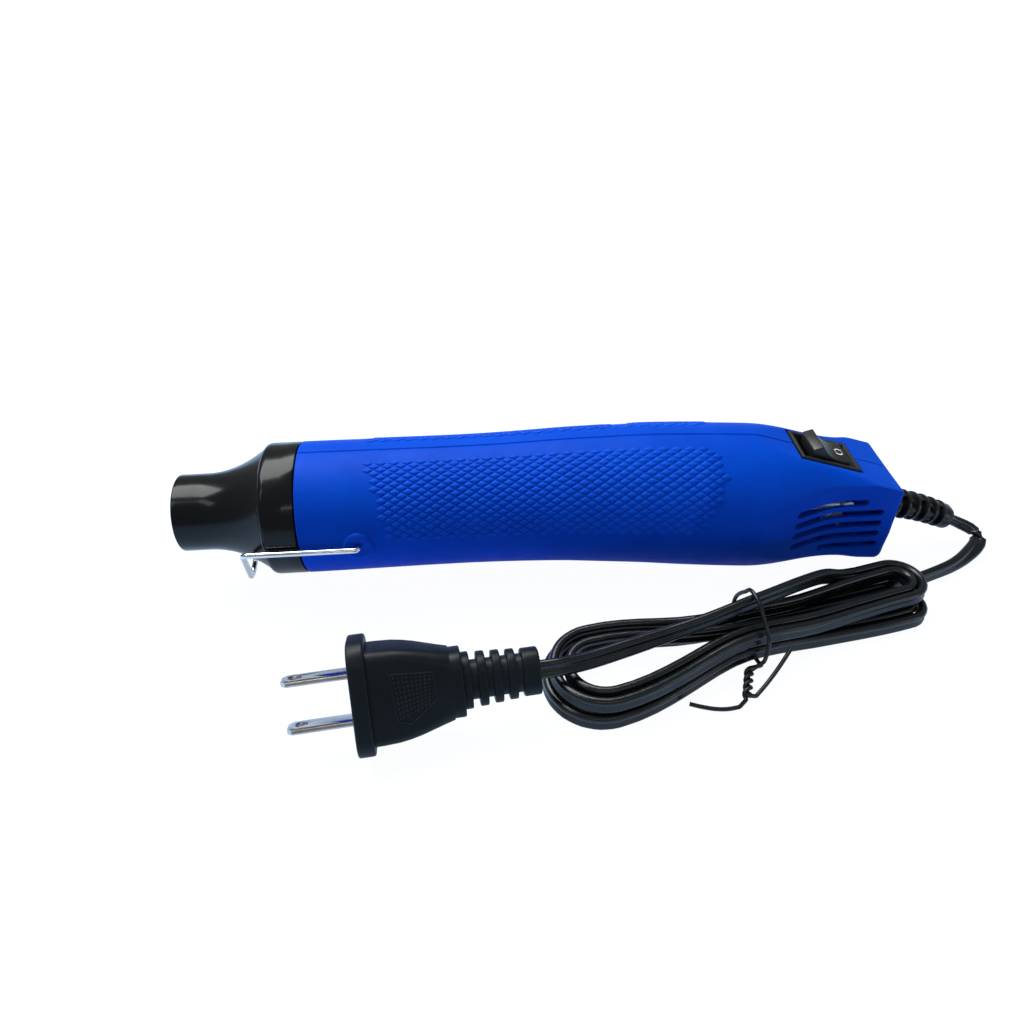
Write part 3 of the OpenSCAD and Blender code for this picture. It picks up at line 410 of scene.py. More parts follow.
# step is the pitch of the strands at the waist, the right end and the left end
hank = {"at": (57.0, -44.5), "turn": 13.6, "half": 62.5, "ends": (8.4, 16.5), "waist": 7.6,
        "step": (2.9, 2.9, 3.5), "layer": 5.85, "lift": 1.7, "turns": 4, "turnIn": 2.125, "fan": 2.2}
plugPlace = {"at": (-55.2, -66.6, 15.68), "turn": 6.0, "roll": -32.0, "body": 29.0, "relief": 20.7}
leadPoints = [(148, -3.5, 5.6), (147.8, -8, 4.4), (142, -12.8, 3.2), (134.5, -17.2, 2.8),
              (125.5, -20.8, 2.75)]
tailFromHank = [(37, 9, 10.3), (30, 8, 13.4), (20, 5.6, 15.6), (9, 3.1, 16.9)]
tailPoints = [(56, -43, 17), (44, -47, 15.8), (32, -50.5, 14.8), (20, -54.5, 14.7), (8, -58.4, 14.8)]
gripPlace = {"z": -9.3, "droop": 8.0, "turn": 20.0, "length": 28.0, "wide": 8.6, "high": 7.6}


def cordSection(n=9):
    r, out = cordSize["thick"] / 2, (cordSize["wide"] - cordSize["thick"]) / 2
    groove = math.asin(0.56)
    found = []
    for side in (1, -1):
        for k in range(n):
            a = -math.pi + groove + (math.tau - 2 * groove) * k / (n - 1)
            x, y = r * math.sin(a), r * math.cos(a)
            found.append((x * side, (out + y) * side))
    return found


def fromHank(u, v, z):
    a = math.radians(hank["turn"])
    return Vector((hank["at"][0] + u * math.cos(a) - v * math.sin(a),
                   hank["at"][1] + u * math.sin(a) + v * math.cos(a), z))


# A point of the tied hank after s turns; k counts the strands inwards from the outermost one
def hankPoint(s):
    half, (endR, endL), turnIn = hank["half"], hank["ends"], hank["turnIn"]
    k = turnIn - abs(s - turnIn) + 0.3 * (ease((s - 1.7) / 0.3) - ease((s - 2.25) / 0.3))
    f = s - math.floor(s)
    cr, cl = half - endR, -(half - endL)
    er, el = endR - k * hank["step"][1], endL - k * hank["step"][2]

    def towards(u, middle, right, left):
        end = endR if u > 0 else endL
        return mix(middle, right if u > 0 else left, ease(abs(u) / (half - end)))

    def width(u):
        return towards(u, hank["waist"], endR, endL)

    def pitch(u):
        return towards(u, *hank["step"])

    if f < 0.25:
        u = mix(cr, cl, f / 0.25)
        v = width(u) - k * pitch(u)
    elif f < 0.5:
        a = math.radians(90 + (f - 0.25) * 720)
        u, v = cl + el * math.cos(a), el * math.sin(a)
    elif f < 0.75:
        u = mix(cl, cr, (f - 0.5) / 0.25)
        v = -width(u) + k * pitch(u)
    else:
        a = math.radians(-90 + (f - 0.75) * 720)
        u, v = cr + er * math.cos(a), er * math.sin(a)
    climb = ease((s - 2.01) / 0.23)
    v += hank["fan"] * (2 * climb - 1) * ease((u - 8) / (half - endR - 8))
    z = cordSize["wide"] / 2 + hank["layer"] * climb + hank["lift"] * (1 - ease(abs(u) / 24))
    return fromHank(u, v, z)


def gripFrame():
    return Matrix.Translation(Vector((midL, 0, gripPlace["z"] + axleZ))) @ Matrix.Rotation(
        math.radians(gripPlace["droop"]), 4, "Y")


def gripPoint(t):
    r = gripPlace["length"] / math.radians(gripPlace["turn"])
    a = math.radians(gripPlace["turn"]) * t
    return gripFrame() @ Vector((r * math.sin(a), 0, -r * (1 - math.cos(a))))


gripEnd = gripPoint(1.0)
leave = math.radians(gripPlace["droop"] + gripPlace["turn"])
leaveWay = Vector((math.cos(leave), 0, -math.sin(leave)))
straight = cordSize["wide"]
hankWay = fromHank(-1, 0, 0) - fromHank(0, 0, 0)
hankLine = [hankPoint(0) - hankWay * straight] + [hankPoint(i / 72) for i in range(hank["turns"] * 72 + 1)]
hankLine.append(hankPoint(hank["turns"]) + hankWay * straight)
plugTurn = math.radians(plugPlace["turn"])
plugWay = Vector((math.cos(plugTurn), math.sin(plugTurn), 0))
plugEnd = Vector(plugPlace["at"]) + plugWay * (plugPlace["body"] + plugPlace["relief"])


def makeCord():
    free = [gripEnd + leaveWay * straight, *map(Vector, leadPoints), hankLine[0] - hankWay * straight]
    lead = [gripEnd, gripEnd + leaveWay * straight * 0.5] + smoothCurve(free, 2)
    rising = [fromHank(*p) for p in tailFromHank] + [Vector(p) for p in tailPoints]
    tail = smoothCurve([hankLine[-1] + hankWay * straight] + rising + [plugEnd + plugWay * straight], 2)
    tail.append(plugEnd - plugWay * 0.5)
    line = lead + hankLine + tail
    line = [line[0]] + [b for a, b in zip(line, line[1:]) if (b - a).length > 1e-4]
    line = evenly(line, 1.7)
    lengths = [0.0]
    for a, b in zip(line, line[1:]):
        lengths.append(lengths[-1] + (b - a).length)
    total = lengths[-1]
    roll = math.radians(plugPlace["roll"])
    across = Vector((math.sin(plugTurn), -math.cos(plugTurn), 0)) * math.sin(roll)
    longWay = across + Vector((0, 0, math.cos(roll)))
    wides = []
    for at in lengths:
        start = ease((at - 3) / 40)
        end = ease((at - (total - 55)) / 42)
        w = Vector((0, 1, 0)).lerp(Vector((0, 0, 1)), start)
        wides.append(w.lerp(longWay, end))
    made = piece("cord", sweptTube(line, cordSection(), wides), "cord_pvc",
                 stands=("cord_lead", "cord_hank", "cord_tail"), sharp=60)
    return made, [p * mm for p in line], total * mm


cordPiece, cordLine, cordLength = makeCord()
print("cord made, length", round(cordLength, 4))


# Housing
housing = {"front": 38.6, "barrel": 20.6, "waist": 20.3, "palm": 23.2, "neck": 19.4, "foot": 20.0,
           "wall": 1.15, "bends": (2.3, 2.6), "facetA": 18.2, "facetZ": 11.95, "scoopW": 13.7, "scoopA": 20.0,
           "facetEdge": 0.3, "scoopEdge": 0.3, "seam": 0.4, "gap": 0.03}
facetX = toolL - 22.2
bendAt = (toolL - 104, toolL - 79)
formRows = [(housing["front"], housing["barrel"]), (toolL - 139, housing["waist"]),
            (toolL - 46, housing["palm"]), (toolL - 15, housing["neck"]), (toolL - 7, housing["foot"])]


def formRadius(x):
    r = formRows[0][1]
    for (x0, r0), (x1, r1) in zip(formRows, formRows[1:]):
        r += (r1 - r0) * ease((x - x0) / (x1 - x0))
    return r


def axisAngle(x):
    return math.radians(housing["bends"][0] * ease((x - bendAt[0] + 6) / 12)
                        + housing["bends"][1] * ease((x - bendAt[1] + 6) / 12))


axisTable = [(0.0, 0.0)]
for step in range(1, 2400):
    px, pz = axisTable[-1]
    a = axisAngle(step * 0.1)
    axisTable.append((px + 0.1 * math.cos(a), pz - 0.1 * math.sin(a)))


def axisPoint(s):
    i = min(int(s * 10), len(axisTable) - 2)
    t = s * 10 - i
    (x0, z0), (x1, z1) = axisTable[i], axisTable[i + 1]
    return Vector((mix(x0, x1, t), 0, mix(z0, z1, t)))


def scoopSide(x):
    turnX = toolL - 21.3 + 30 * math.tan(math.radians(housing["scoopA"]) / 2)
    a = math.radians(housing["scoopA"])
    flareX = turnX - 30 * math.sin(a)
    if x >= turnX:
        return housing["scoopW"]
    if x >= flareX:
        return housing["scoopW"] + 30 - math.sqrt(900 - (turnX - x) ** 2)
    return housing["scoopW"] + 30 * (1 - math.cos(a)) + (flareX - x) * math.tan(a)


def softMin(a, b, k):
    h = max(k - abs(a - b), 0) / k
    return min(a, b) - h * h * k * 0.25


# Raised diamonds of the grip field: rows run along the barrel, angles are measured from the top
diamonds = {"along": 3.95, "round": 2.55, "long": 3.3, "wide": 2.08, "height": 0.25, "curve": 1.14,
            "from": 17.0, "to": 87.0, "start": 56, "end": 170, "radius": 21.7, "clear": 5.0}
# Share of the outline and height at each level of a diamond, from its top down
diamondLevels = [(0.9, 0, 1.04), (0.3, 0.8, 1.0), (-0.3, 1.0, 0.05), (-0.9, 0.85, -0.7), (-9, 0, -0.8)]


def inField(x, angle):
    up = 90 - angle
    return 59.6 + (70 - up) * 0.092 < x < 165.4 - abs(up - 50) * 0.14


def makeGripPads(side, name):
    d = diamonds
    half = d["radius"]
    strips = []
    rows = int((d["to"] - d["from"]) / math.degrees(d["round"] / 2 / half))
    for n in range(rows + 1):
        angle = d["from"] + math.degrees(n * d["round"] / 2 / half)
        bm = bmesh.new()
        for m in range(int((d["end"] - d["start"]) / d["along"])):
            x = d["start"] + (m + (n % 2) / 2) * d["along"]
            if not inField(x, angle):
                continue
            here = housingPoint(x, angle, side)
            gaps = [math.hypot(here.x - toolL - sx, here.z - sz) for sx, sz in screwPlaces]
            if side > 0 and min(gaps) < d["clear"]:
                continue
            made = bmesh.ops.create_uvsphere(bm, u_segments=12, v_segments=4, radius=1.0)
            for v in made["verts"]:
                share, high = next((f, h) for low, f, h in diamondLevels if v.co.z > low)
                a = math.atan2(v.co.y, v.co.x)
                c, q = math.cos(a), math.sin(a)
                reach = share / (abs(c) ** d["curve"] + abs(q) ** d["curve"]) ** (1 / d["curve"])
                turned = angle + math.degrees(reach * q * d["wide"] / 2 / half)
                p = housingPoint(x + reach * c * d["long"] / 2, turned, side, drawn=-high * d["height"])
                v.co = fromTool(*p)
        outward(bm)
        strips.append(bm)
    return piece(name, joined(strips), "blue_plastic", sharp=75, doubles=False)


def spread(a, b, n):
    return [a + (b - a) * k / n for k in range(n)]


def housingStations():
    return spread(38.6, 39.4, 3) + spread(39.4, 168, 84) + spread(168, toolL + 0.2, 140) + [toolL + 0.2]


def housingAngles():
    steps = [(0, 1.2, 3), (1.2, 18, 14), (18, 86, 68), (86, 130, 36), (130, 178.8, 30), (178.8, 180, 3)]
    return [a for step in steps for a in spread(*step)] + [180.0]


axisEnd = next(k * 0.1 for k in range(1, 2399) if axisTable[k][0] >= toolL)


# A point of the skin, s along the axis and at an angle from the top, drawn inwards by drawn
def housingPoint(s, angle, side, drawn=0.0):
    s0 = min(s, axisEnd)
    centre = axisPoint(s0)
    tilt = axisAngle(s0) * (1 - ease((s0 - (axisEnd - 30)) / 27))
    a = math.radians(angle)
    way = Vector((math.cos(a) * math.sin(tilt), side * math.sin(a), math.cos(a) * math.cos(tilt)))
    r = formRadius(centre.x)
    fa = math.radians(housing["facetA"])
    normal = Vector((math.sin(fa), 0, math.cos(fa)))
    facing = way.dot(normal)
    if facing > 0.02:
        flat = (Vector((facetX, 0, housing["facetZ"])) - centre).dot(normal) / facing
        r = softMin(r, flat, housing["facetEdge"] * 2)
    if abs(way.y) > 0.02:
        reach = r
        for _ in range(5):
            reach = scoopSide(centre.x + reach * way.x) / abs(way.y)
        r = softMin(r, reach, housing["scoopEdge"] * 2)
    r -= drawn
    near = min(angle, 180 - angle)
    if near < 1.2:
        r -= housing["seam"] * (1 - near / 1.2)
    return centre + way * r


def housingShell(side):
    angles = housingAngles()
    edge = axisEnd - 1.6
    stations = [s for s in housingStations() if s < edge]
    stations += [edge + 1.6 * math.sin(k * math.pi / 12) for k in range(7)]
    shrink = [0.9, 0.7, 0.45, 0.2, 0.02]
    rows = len(stations) + len(shrink)

    def place(i, j):
        angle = angles[j]
        lower = ease((angle - 105) / 40)
        if i < len(stations):
            big = mix(1.2, 3.2, lower)
            back = axisEnd - stations[i]
            over = max(big - back, 0) / big
            drawn = big * (1 - math.sqrt(max(1 - over * over, 0)))
            p = housingPoint(stations[i], angle, side, drawn=drawn)
        else:
            rim = housingPoint(axisEnd, angle, side, drawn=mix(1.2, 3.2, lower))
            middle = axisPoint(axisEnd)
            p = middle + (rim - middle) * shrink[i - len(stations)]
            p.x = rim.x
        if i == 0:
            p = p - Vector((0, p.y, p.z)).normalized() * 0.25
        p.y = side * max(abs(p.y), housing["gap"])
        return fromTool(p.x, p.y, p.z)

    bm = placedGrid(rows, len(angles), place)
    if sum(f.normal.y * side * f.calc_area() for f in bm.faces) < 0:
        bmesh.ops.reverse_faces(bm, faces=bm.faces)
    return bm


def facetFrame():
    fa = math.radians(housing["facetA"])
    return Matrix.Translation(fromTool(facetX, 0, housing["facetZ"])) @ Matrix.Rotation(fa, 4, "Y")


switchSize = {"length": 21.2, "width": 14.8, "pocket": 0.95, "bezel": 1.35, "wellL": 17.8, "wellDeep": 11.5,
              "bezelEdge": 0.35, "rockerEdge": 0.34, "rockerL": 15.6, "rockerW": 10.6, "pivot": -1.6,
              "rest": 14.0, "hollow": 1.2, "rise": 1.5, "slant": 2.1, "markAt": 3.9}
slotEnds = [(-33.5, -11.8), (-33.5, -5.8), (-33.5, -5.4), (-33.3, -5.2), (-22.4, -4.8)]
slotHigh, slotPitch, slotTop = 2.45, 4.3, 1.2
screwPlaces = [(-86, 15.2), (-86, -16.2), (-43, 7), (-41, -19.6)]
well = {"bore": 2.65, "inner": 2.66, "outer": 3.1, "floor": 5.0, "sunk": 0.3}


def slotCutter(x0, x1, z):
    r = slotHigh / 2
    bm = bmesh.new()
    ring = []
    for x, first in ((x1, -math.pi / 2), (x0, math.pi / 2)):
        for k in range(13):
            a = first + math.pi * k / 12
            ring.append((x + r * math.cos(a), z + r * math.sin(a)))
    verts = [bm.verts.new(fromTool(x, -30, h)) for x, h in ring]
    pushed(bm, [bm.faces.new(verts)], (0, 60 * mm, 0))
    outward(bm)
    return bm


def cylinderCutter(x, z, r, y0, y1, segments=40):
    bm = bmesh.new()
    bmesh.ops.create_cone(bm, cap_ends=True, segments=segments, radius1=r * mm, radius2=r * mm,
                          depth=abs(y1 - y0) * mm)
    turn = Matrix.Rotation(math.radians(90), 4, "X")
    return moved(bm, Matrix.Translation(fromTool(x, (y0 + y1) / 2, z)) @ turn)


def pocketCutter():
    s = switchSize
    bm = roundedBox((s["length"] + 1.8, s["width"] + 1.6, 10), (0, 0, 5 - s["pocket"]), 0)
    body = roundedBox((19.2, 13.4, 16), (0, 0, -5), 0)
    return [moved(bm, facetFrame()), moved(body, facetFrame())]


def applied(made):
    bpy.context.view_layer.update()
    graph = bpy.context.evaluated_depsgraph_get()
    mesh = bpy.data.meshes.new_from_object(made.evaluated_get(graph))
    bm = bmesh.new()
    bm.from_mesh(mesh)
    bpy.data.meshes.remove(mesh)
    return bm


def cutHousing(side, name, node):
    shell = meshObject("shell", housingShell(side))
    thick = shell.modifiers.new("wall", "SOLIDIFY")
    thick.thickness = housing["wall"] * mm
    thick.offset = -1
    thick.use_rim = True
    cutters = [slotCutter(toolL + a, toolL + b, slotTop - i * slotPitch) for i, (a, b) in enumerate(slotEnds)]
    cutters += pocketCutter()
    cutters.append(cylinderCutter(56, 0, 1.02, side * 15, side * 26, 24))
    if side > 0:
        cutters += [cylinderCutter(toolL + x, z, well["bore"], 5, 30) for x, z in screwPlaces]
    scratch = [shell]
    for k, cutter in enumerate(cutters):
        tool = meshObject("cutter%d" % k, cutter)
        scratch.append(tool)
        cut = shell.modifiers.new("cut%d" % k, "BOOLEAN")
        cut.operation = "DIFFERENCE"
        cut.solver = "MANIFOLD"
        cut.object = tool
    bm = applied(shell)
    for o in scratch:
        mesh = o.data
        bpy.data.objects.remove(o)
        bpy.data.meshes.remove(mesh)
    print(name, "faces", len(bm.faces))
    return piece(name, bm, "blue_plastic", stands=(node,), sharp=32)


cutHousing(-1, "housingRight", "housing_right")
cutHousing(1, "housingLeft", "housing_left")
makeGripPads(-1, "gripPadsRight")
makeGripPads(1, "gripPadsLeft")
print("housing halves made")


# Heights in a boss's profile are measured from 2 mm under its top
boss = {"x": 56, "top": 21.05,
        "profile": [(1.0, -1.4), (5.1, -1.4), (4.95, 0.3), (4.85, 1.0), (4.65, 1.55), (4.3, 1.9), (3.85, 2.0),
                    (3.3, 1.97), (2.9, 1.8), (1.9, 1.7), (1.45, 1.5), (1.1, 1.1), (1.0, 0.6)]}


def makeBosses():
    profile = [(r, h - 2.0 + boss["top"]) for r, h in boss["profile"]]
    for side, name in ((-1, "standBossRight"), (1, "standBossLeft")):
        bm = spunRing(profile, fromTool(boss["x"], 0, 0), (0, side, 0), 64)
        piece(name, bm, "blue_plastic", sharp=40)


# How far the skin of the far half stands out at a place in the side view
def surfaceSide(x, z):
    return min((abs(p.z - z), p.y) for p in (housingPoint(x, a, 1) for a in range(8, 173)))[1]


def makeScrewWells():
    parts = []
    for x, z in screwPlaces:
        rim = [k * math.pi / 6 for k in range(12)]
        inner, outer, low = well["inner"], well["outer"], well["floor"]
        edge = [(toolL + x + outer * math.cos(a), z + outer * math.sin(a)) for a in rim]
        high = min(surfaceSide(*at) for at in edge) - well["sunk"]
        wall = [(inner, low), (outer, low), (outer, high), (inner, high)]
        parts.append(spunRing(wall, fromTool(toolL + x, 0, z), (0, 1, 0), 40))
    piece("screwWells", joined(parts), "blue_plastic", sharp=40)


makeBosses()
makeScrewWells()


# One bend of the white inner lead lies close behind the top slot
ventLead = {"r": 0.42,
            "line": [(194, -8.5, -4.5), (198, -11.6, -1.4), (200, -12.6, 0.42), (202, -12.7, 0.5),
                     (204.2, -12.65, 0.45), (205.4, -11.4, -1.0), (206.6, -12.6, 0.4), (208.6, -12.5, 0.4),
                     (210.2, -11.0, -1.9), (212, -7.5, -4.5)]}


def makeVentLead():
    line = smoothCurve([fromTool(*q) / mm for q in ventLead["line"]], 0.6)
    bm = sweptTube(line, roundSection(ventLead["r"], 12), carried(line, (0, 0, 1)))
    piece("ventLead", bm, "white_pvc", sharp=60)


makeVentLead()


# Nozzle
nozzleSize = {"length": 38.3, "mouth": 12.0, "straight": 8.0, "collar": 10.5, "wall": 1.0, "top": 20.6,
              "spigot": 8}


def makeNozzle():
    n = nozzleSize
    shoulder = n["length"] - n["collar"]
    spigot = housing["barrel"] - housing["wall"] - 0.25

    def flare(x):
        t = (x - n["straight"]) / (shoulder - n["straight"])
        return n["mouth"] + (n["top"] - 1.1 - n["mouth"]) * t * t

    lip = [k * math.pi / 10 for k in range(6)]
    outer = [(n["mouth"] - 0.5 + 0.5 * math.sin(a), 0.5 - 0.5 * math.cos(a)) for a in lip]
    outer += [(n["mouth"], x) for x in (1.5, 4.0, 6.5, n["straight"])]
    flared = [n["straight"] + k * (shoulder - n["straight"] - 0.4) / 26 for k in range(1, 27)]
    outer += [(flare(x), x) for x in flared]
    outer += [(n["top"] - 1.25, shoulder - 0.2), (n["top"] - 1.3, shoulder)]
    bend = [k * math.pi / 18 for k in range(10)]
    outer += [(n["top"] - 1.15 + 1.15 * math.sin(a), shoulder + 1.9 * (1 - math.cos(a))) for a in bend]
    outer += [(n["top"] - 0.02, n["length"] - 4), (n["top"], n["length"] - 0.7),
              (n["top"] - 0.15, n["length"] - 0.2), (n["top"] - 0.5, n["length"]),
              (spigot, n["length"]), (spigot, n["length"] + n["spigot"])]
    inner = [(spigot - n["wall"], n["length"] + n["spigot"])]
    for k in range(24):
        x = (23 - k) / 23 * shoulder
        r = (n["mouth"] if x < n["straight"] else flare(x)) - n["wall"]
        inner.append((min(r, spigot - n["wall"]), max(x, 0.5)))
    inner += [(n["mouth"] - n["wall"] + 0.15, 0.15)]
    bm = spunRing(outer + inner, fromTool(0, 0, 0), (1, 0, 0), 128)
    piece("nozzle", bm, "black_metal", stands=("nozzle",), sharp=40)


makeNozzle()


# Stand
standSize = {"wire": 0.9, "axleX": 56.0, "cornerX": 22.3, "tipX": 15.8, "legY": 22.1, "pin": 18.0,
             "tipBend": 5.0, "axleBend": 1.1, "cornerBend": 2.0}


def makeStand():
    s = standSize
    low = Vector((s["tipX"], 0, -axleZ + s["wire"]))
    turnAt = Vector((s["cornerX"], s["legY"], 0))
    corner = low.copy()
    for _ in range(12):
        a = (corner - turnAt).normalized()
        b = (Vector((turnAt.x, -turnAt.y, 0)) - corner).normalized()
        way = Vector((corner.x - s["cornerX"], 0, corner.z)).normalized()
        corner = low + way * s["tipBend"] * (1 / math.cos(a.angle(b) / 2) - 1)
    half = [Vector((s["axleX"], s["pin"], 0)), Vector((s["axleX"], s["legY"], 0)), turnAt]
    points = half + [corner] + [Vector((p.x, -p.y, p.z)) for p in reversed(half)]
    bends = [0, s["axleBend"], s["cornerBend"]]
    line = roundedPath(points, bends + [s["tipBend"]] + bends[::-1], 9)
    line = [fromTool(*p) / mm for p in line]
    bm = sweptTube(line, roundSection(s["wire"], 20), carried(line, (0, 0, 1)))
    piece("standWire", bm, "chrome_wire", body="stand", stands=("stand",), sharp=60)


makeStand()


# Switch
def makeSwitch():
    s = switchSize
    bm = bmesh.new()
    bmesh.ops.create_grid(bm, x_segments=1, y_segments=1, size=0.5)
    bmesh.ops.scale(bm, vec=(s["length"] * mm, s["width"] * mm, 1), verts=bm.verts)
    rim = (s["length"] - s["wellL"]) / 2 * mm
    bmesh.ops.inset_region(bm, faces=bm.faces[:], thickness=rim, use_boundary=True)
    inner = min(bm.faces, key=lambda f: f.calc_center_median().length + (0 if len(f.verts) == 4 and abs(
        f.calc_area() - (s["length"] * mm - 2 * rim) * (s["width"] * mm - 2 * rim)) < 1e-8 else 1))
    pushed(bm, [inner], (0, 0, -s["wellDeep"] * mm))
    if inner.is_valid:
        bmesh.ops.delete(bm, geom=[inner], context="FACES_ONLY")
    rimEdges = [e for e in bm.edges if e.is_boundary]
    skirt = bmesh.ops.extrude_edge_only(bm, edges=rimEdges)
    skirtVerts = [v for v in skirt["geom"] if isinstance(v, bmesh.types.BMVert)]
    bmesh.ops.translate(bm, vec=(0, 0, -s["bezel"] * mm), verts=skirtVerts)
    top = [e for e in bm.edges if all(abs(v.co.z) < 1e-9 for v in e.verts) and e.calc_face_angle(0) > 0.5]
    softened(bm, top, s["bezelEdge"], 3)
    outward(bm)
    bmesh.ops.translate(bm, vec=(0, 0, (s["bezel"] - s["pocket"]) * mm), verts=bm.verts)
    piece("switchFrame", moved(bm, facetFrame()), "black_gloss", stands=("switch_frame",), sharp=40)

    half = s["rockerL"] / 2
    crest = half - s["slant"]
    top = [(i * crest / 12, s["hollow"] + s["rise"] * (i / 12) ** 2) for i in range(-12, 13)]
    outline = top + [(half, 0.3), (half - 0.3, -0.6), (5, -3.4),
                     (-5, -3.4), (-half + 0.3, -0.6), (-half, 0.3)]
    bm = bmesh.new()
    face = bm.faces.new([bm.verts.new(Vector((x, -s["rockerW"] / 2, z)) * mm) for x, z in outline])
    pushed(bm, [face], (0, s["rockerW"] * mm, 0))
    outward(bm)
    softened(bm, sharpEdges(bm, 25), s["rockerEdge"], 3, clamp=True)
    pivot = Matrix.Translation(Vector((0, 0, s["pivot"])) * mm)
    tip = facetFrame() @ pivot @ Matrix.Rotation(math.radians(s["rest"]), 4, "Y") @ pivot.inverted()
    piece("switchRocker", moved(bm, tip), "black_gloss", body="rocker", stands=("switch_rocker",), sharp=30)

    ringAt = s["markAt"]
    slope = math.atan2(s["rise"] * 2 * ringAt / crest ** 2, 1)
    high = s["hollow"] + s["rise"] * (ringAt / crest) ** 2
    onTop = tip @ Matrix.Translation(Vector((ringAt, 0, high)) * mm) @ Matrix.Rotation(-slope, 4, "Y")
    bm = spunRing([(1.05, -0.25), (1.5, -0.25), (1.5, 0.05), (1.05, 0.05)], Vector((0, 0, 0)), (0, 0, 1), 48)
    bmesh.ops.scale(bm, vec=(1.0, 1.12, 1), verts=bm.verts)
    piece("markOff", moved(bm, onTop), "black_gloss", body="rocker", sharp=40, finish="white_paint")
    onTop = tip @ Matrix.Translation(Vector((-ringAt, 0, high)) * mm) @ Matrix.Rotation(slope, 4, "Y")
    bar = moved(roundedBox((0.5, 2.9, 0.3), (0, 0, -0.1), 0), onTop)
    piece("markOn", bar, "black_gloss", body="rocker", sharp=40, finish="white_paint")


makeSwitch()


# Cord grip
def gripMatrix(t):
    a = math.radians(gripPlace["turn"]) * t
    turn = Matrix.Rotation(a, 4, "Y")
    p = gripPoint(t)
    return Matrix.Translation(p * mm) @ Matrix.Rotation(math.radians(gripPlace["droop"]), 4, "Y") @ turn


def pillSlab(w, h, t, edge=0.3):
    section = pillSection(w, h)
    bm = bmesh.new()
    face = bm.faces.new([bm.verts.new(Vector((-t / 2, y, z)) * mm) for y, z in section])
    pushed(bm, [face], (t * mm, 0, 0))
    bmesh.ops.remove_doubles(bm, verts=bm.verts, dist=1e-7)
    outward(bm)
    softened(bm, sharpEdges(bm, 50), edge, 2)
    return bm


# Ribs along the grip, each a little smaller than the last; a bridge of length and width joins two
ribs = {"count": 7, "first": 1.65, "pitch": 2.55, "thick": 1.0, "edge": 0.12, "wide": 10.9, "high": 9.6,
        "narrower": 0.22, "lower": 0.18, "deep": 2.2, "bridge": (2.7, 2.6)}


def makeGrip():
    parts = []
    line = [gripPoint(k / 24) for k in range(25)]
    wide, high = (gripPlace[side] - ribs["deep"] for side in ("wide", "high"))
    core = [(x * 0.5, y * 0.5) for x, y in pillSection(2 * wide, 2 * high)]
    wides = carried(line, (0, 0, 1))
    parts.append(sweptTube(line, core, wides))
    for i in range(ribs["count"]):
        wide, high = ribs["wide"] - i * ribs["narrower"], ribs["high"] - i * ribs["lower"]
        t = (ribs["first"] + i * ribs["pitch"]) / gripPlace["turn"]
        parts.append(moved(pillSlab(wide, high, ribs["thick"], ribs["edge"]), gripMatrix(t)))
        if i < ribs["count"] - 1:
            between = (ribs["first"] + (i + 0.5) * ribs["pitch"]) / gripPlace["turn"]
            long, across = ribs["bridge"]
            size = (long, across, high - 1.1) if i % 2 else (long, wide - 1.1, across)
            parts.append(moved(roundedBox(size, (0, 0, 0), 0.2, 2), gripMatrix(between)))
    parts.append(moved(pillSlab(9.2, 7.8, 4.2, 0.5), gripMatrix(0.915)))
    parts.append(moved(pillSlab(gripPlace["wide"], gripPlace["high"], 3.0, 0.2), gripMatrix(0.01)))
    piece("cordGrip", joined(parts), "black_pvc", stands=("cord_grip",), sharp=38)


makeGrip()


# Wire tie
tie = {"r": 0.62, "u": 1.5, "twistR": 0.86, "turns": 2, "from": (56, -54.8, 2.2), "to": (52.8, -64, 1.6)}
tieTail1 = [(36.4, -64.4, 0.8), (39.5, -65.6, 0.8), (43, -66.6, 0.8), (46.5, -67, 0.9), (50, -66.6, 1)]
tieTail2 = [(55.5, -63.6, 1.4), (59.5, -60.2, 2.4), (64, -56, 4), (68.4, -51.8, 7)]
tieRing = [(-9.3, 3.4), (-9.6, 6), (-9.6, 10), (-8.6, 13.2), (-4.6, 17), (-0.8, 19.9), (3.6, 20.3), (6, 17.6),
           (8.6, 14.2), (9.9, 11), (10.1, 7), (10.1, 3.8), (9.9, 2.2), (9, 0.75), (2, 0.75), (-5, 0.75),
           (-8.6, 1)]


def makeTie():
    start, end = Vector(tie["from"]), Vector(tie["to"])
    axis = (end - start).normalized()
    one = axis.cross(Vector((0, 0, 1))).normalized()
    two = axis.cross(one)

    def strand(first):
        found = []
        n = tie["turns"] * 16
        for i in range(n + 1):
            a = math.radians(first + i * 360 * tie["turns"] / n)
            found.append(start.lerp(end, i / n) + tie["twistR"] * (math.cos(a) * one + math.sin(a) * two))
        return found

    loop = [fromHank(tie["u"], v, z) for v, z in tieRing]
    ends = [smoothCurve([Vector(p) for p in points], 0.9) for points in (tieTail1, tieTail2)]
    line = ends[0] + strand(90)[::-1] + smoothCurve(loop, 0.9) + strand(-90) + ends[1]
    line = evenly(line, 0.55)
    bm = sweptTube(line, roundSection(tie["r"], 12), carried(line, (0, 0, 1)))
    piece("wireTie", bm, "tie_pvc", stands=("wire_tie",), sharp=60)


makeTie()


# Plug
def plugFrame():
    p = plugPlace
    return (Matrix.Translation(Vector(p["at"]) * mm) @ Matrix.Rotation(math.radians(p["turn"]), 4, "Z")
            @ Matrix.Rotation(math.radians(p["roll"]), 4, "X"))


def roundedRect(l, w, r, n=6):
    found = []
    for cx, cz, a0 in ((1, 1, 0), (-1, 1, 90), (-1, -1, 180), (1, -1, 270)):
        for k in range(n):
            a = math.radians(a0 + 90 * k / (n - 1))
            found.append((cx * (w / 2 - r) + r * math.cos(a), cz * (l / 2 - r) + r * math.sin(a)))
    return found


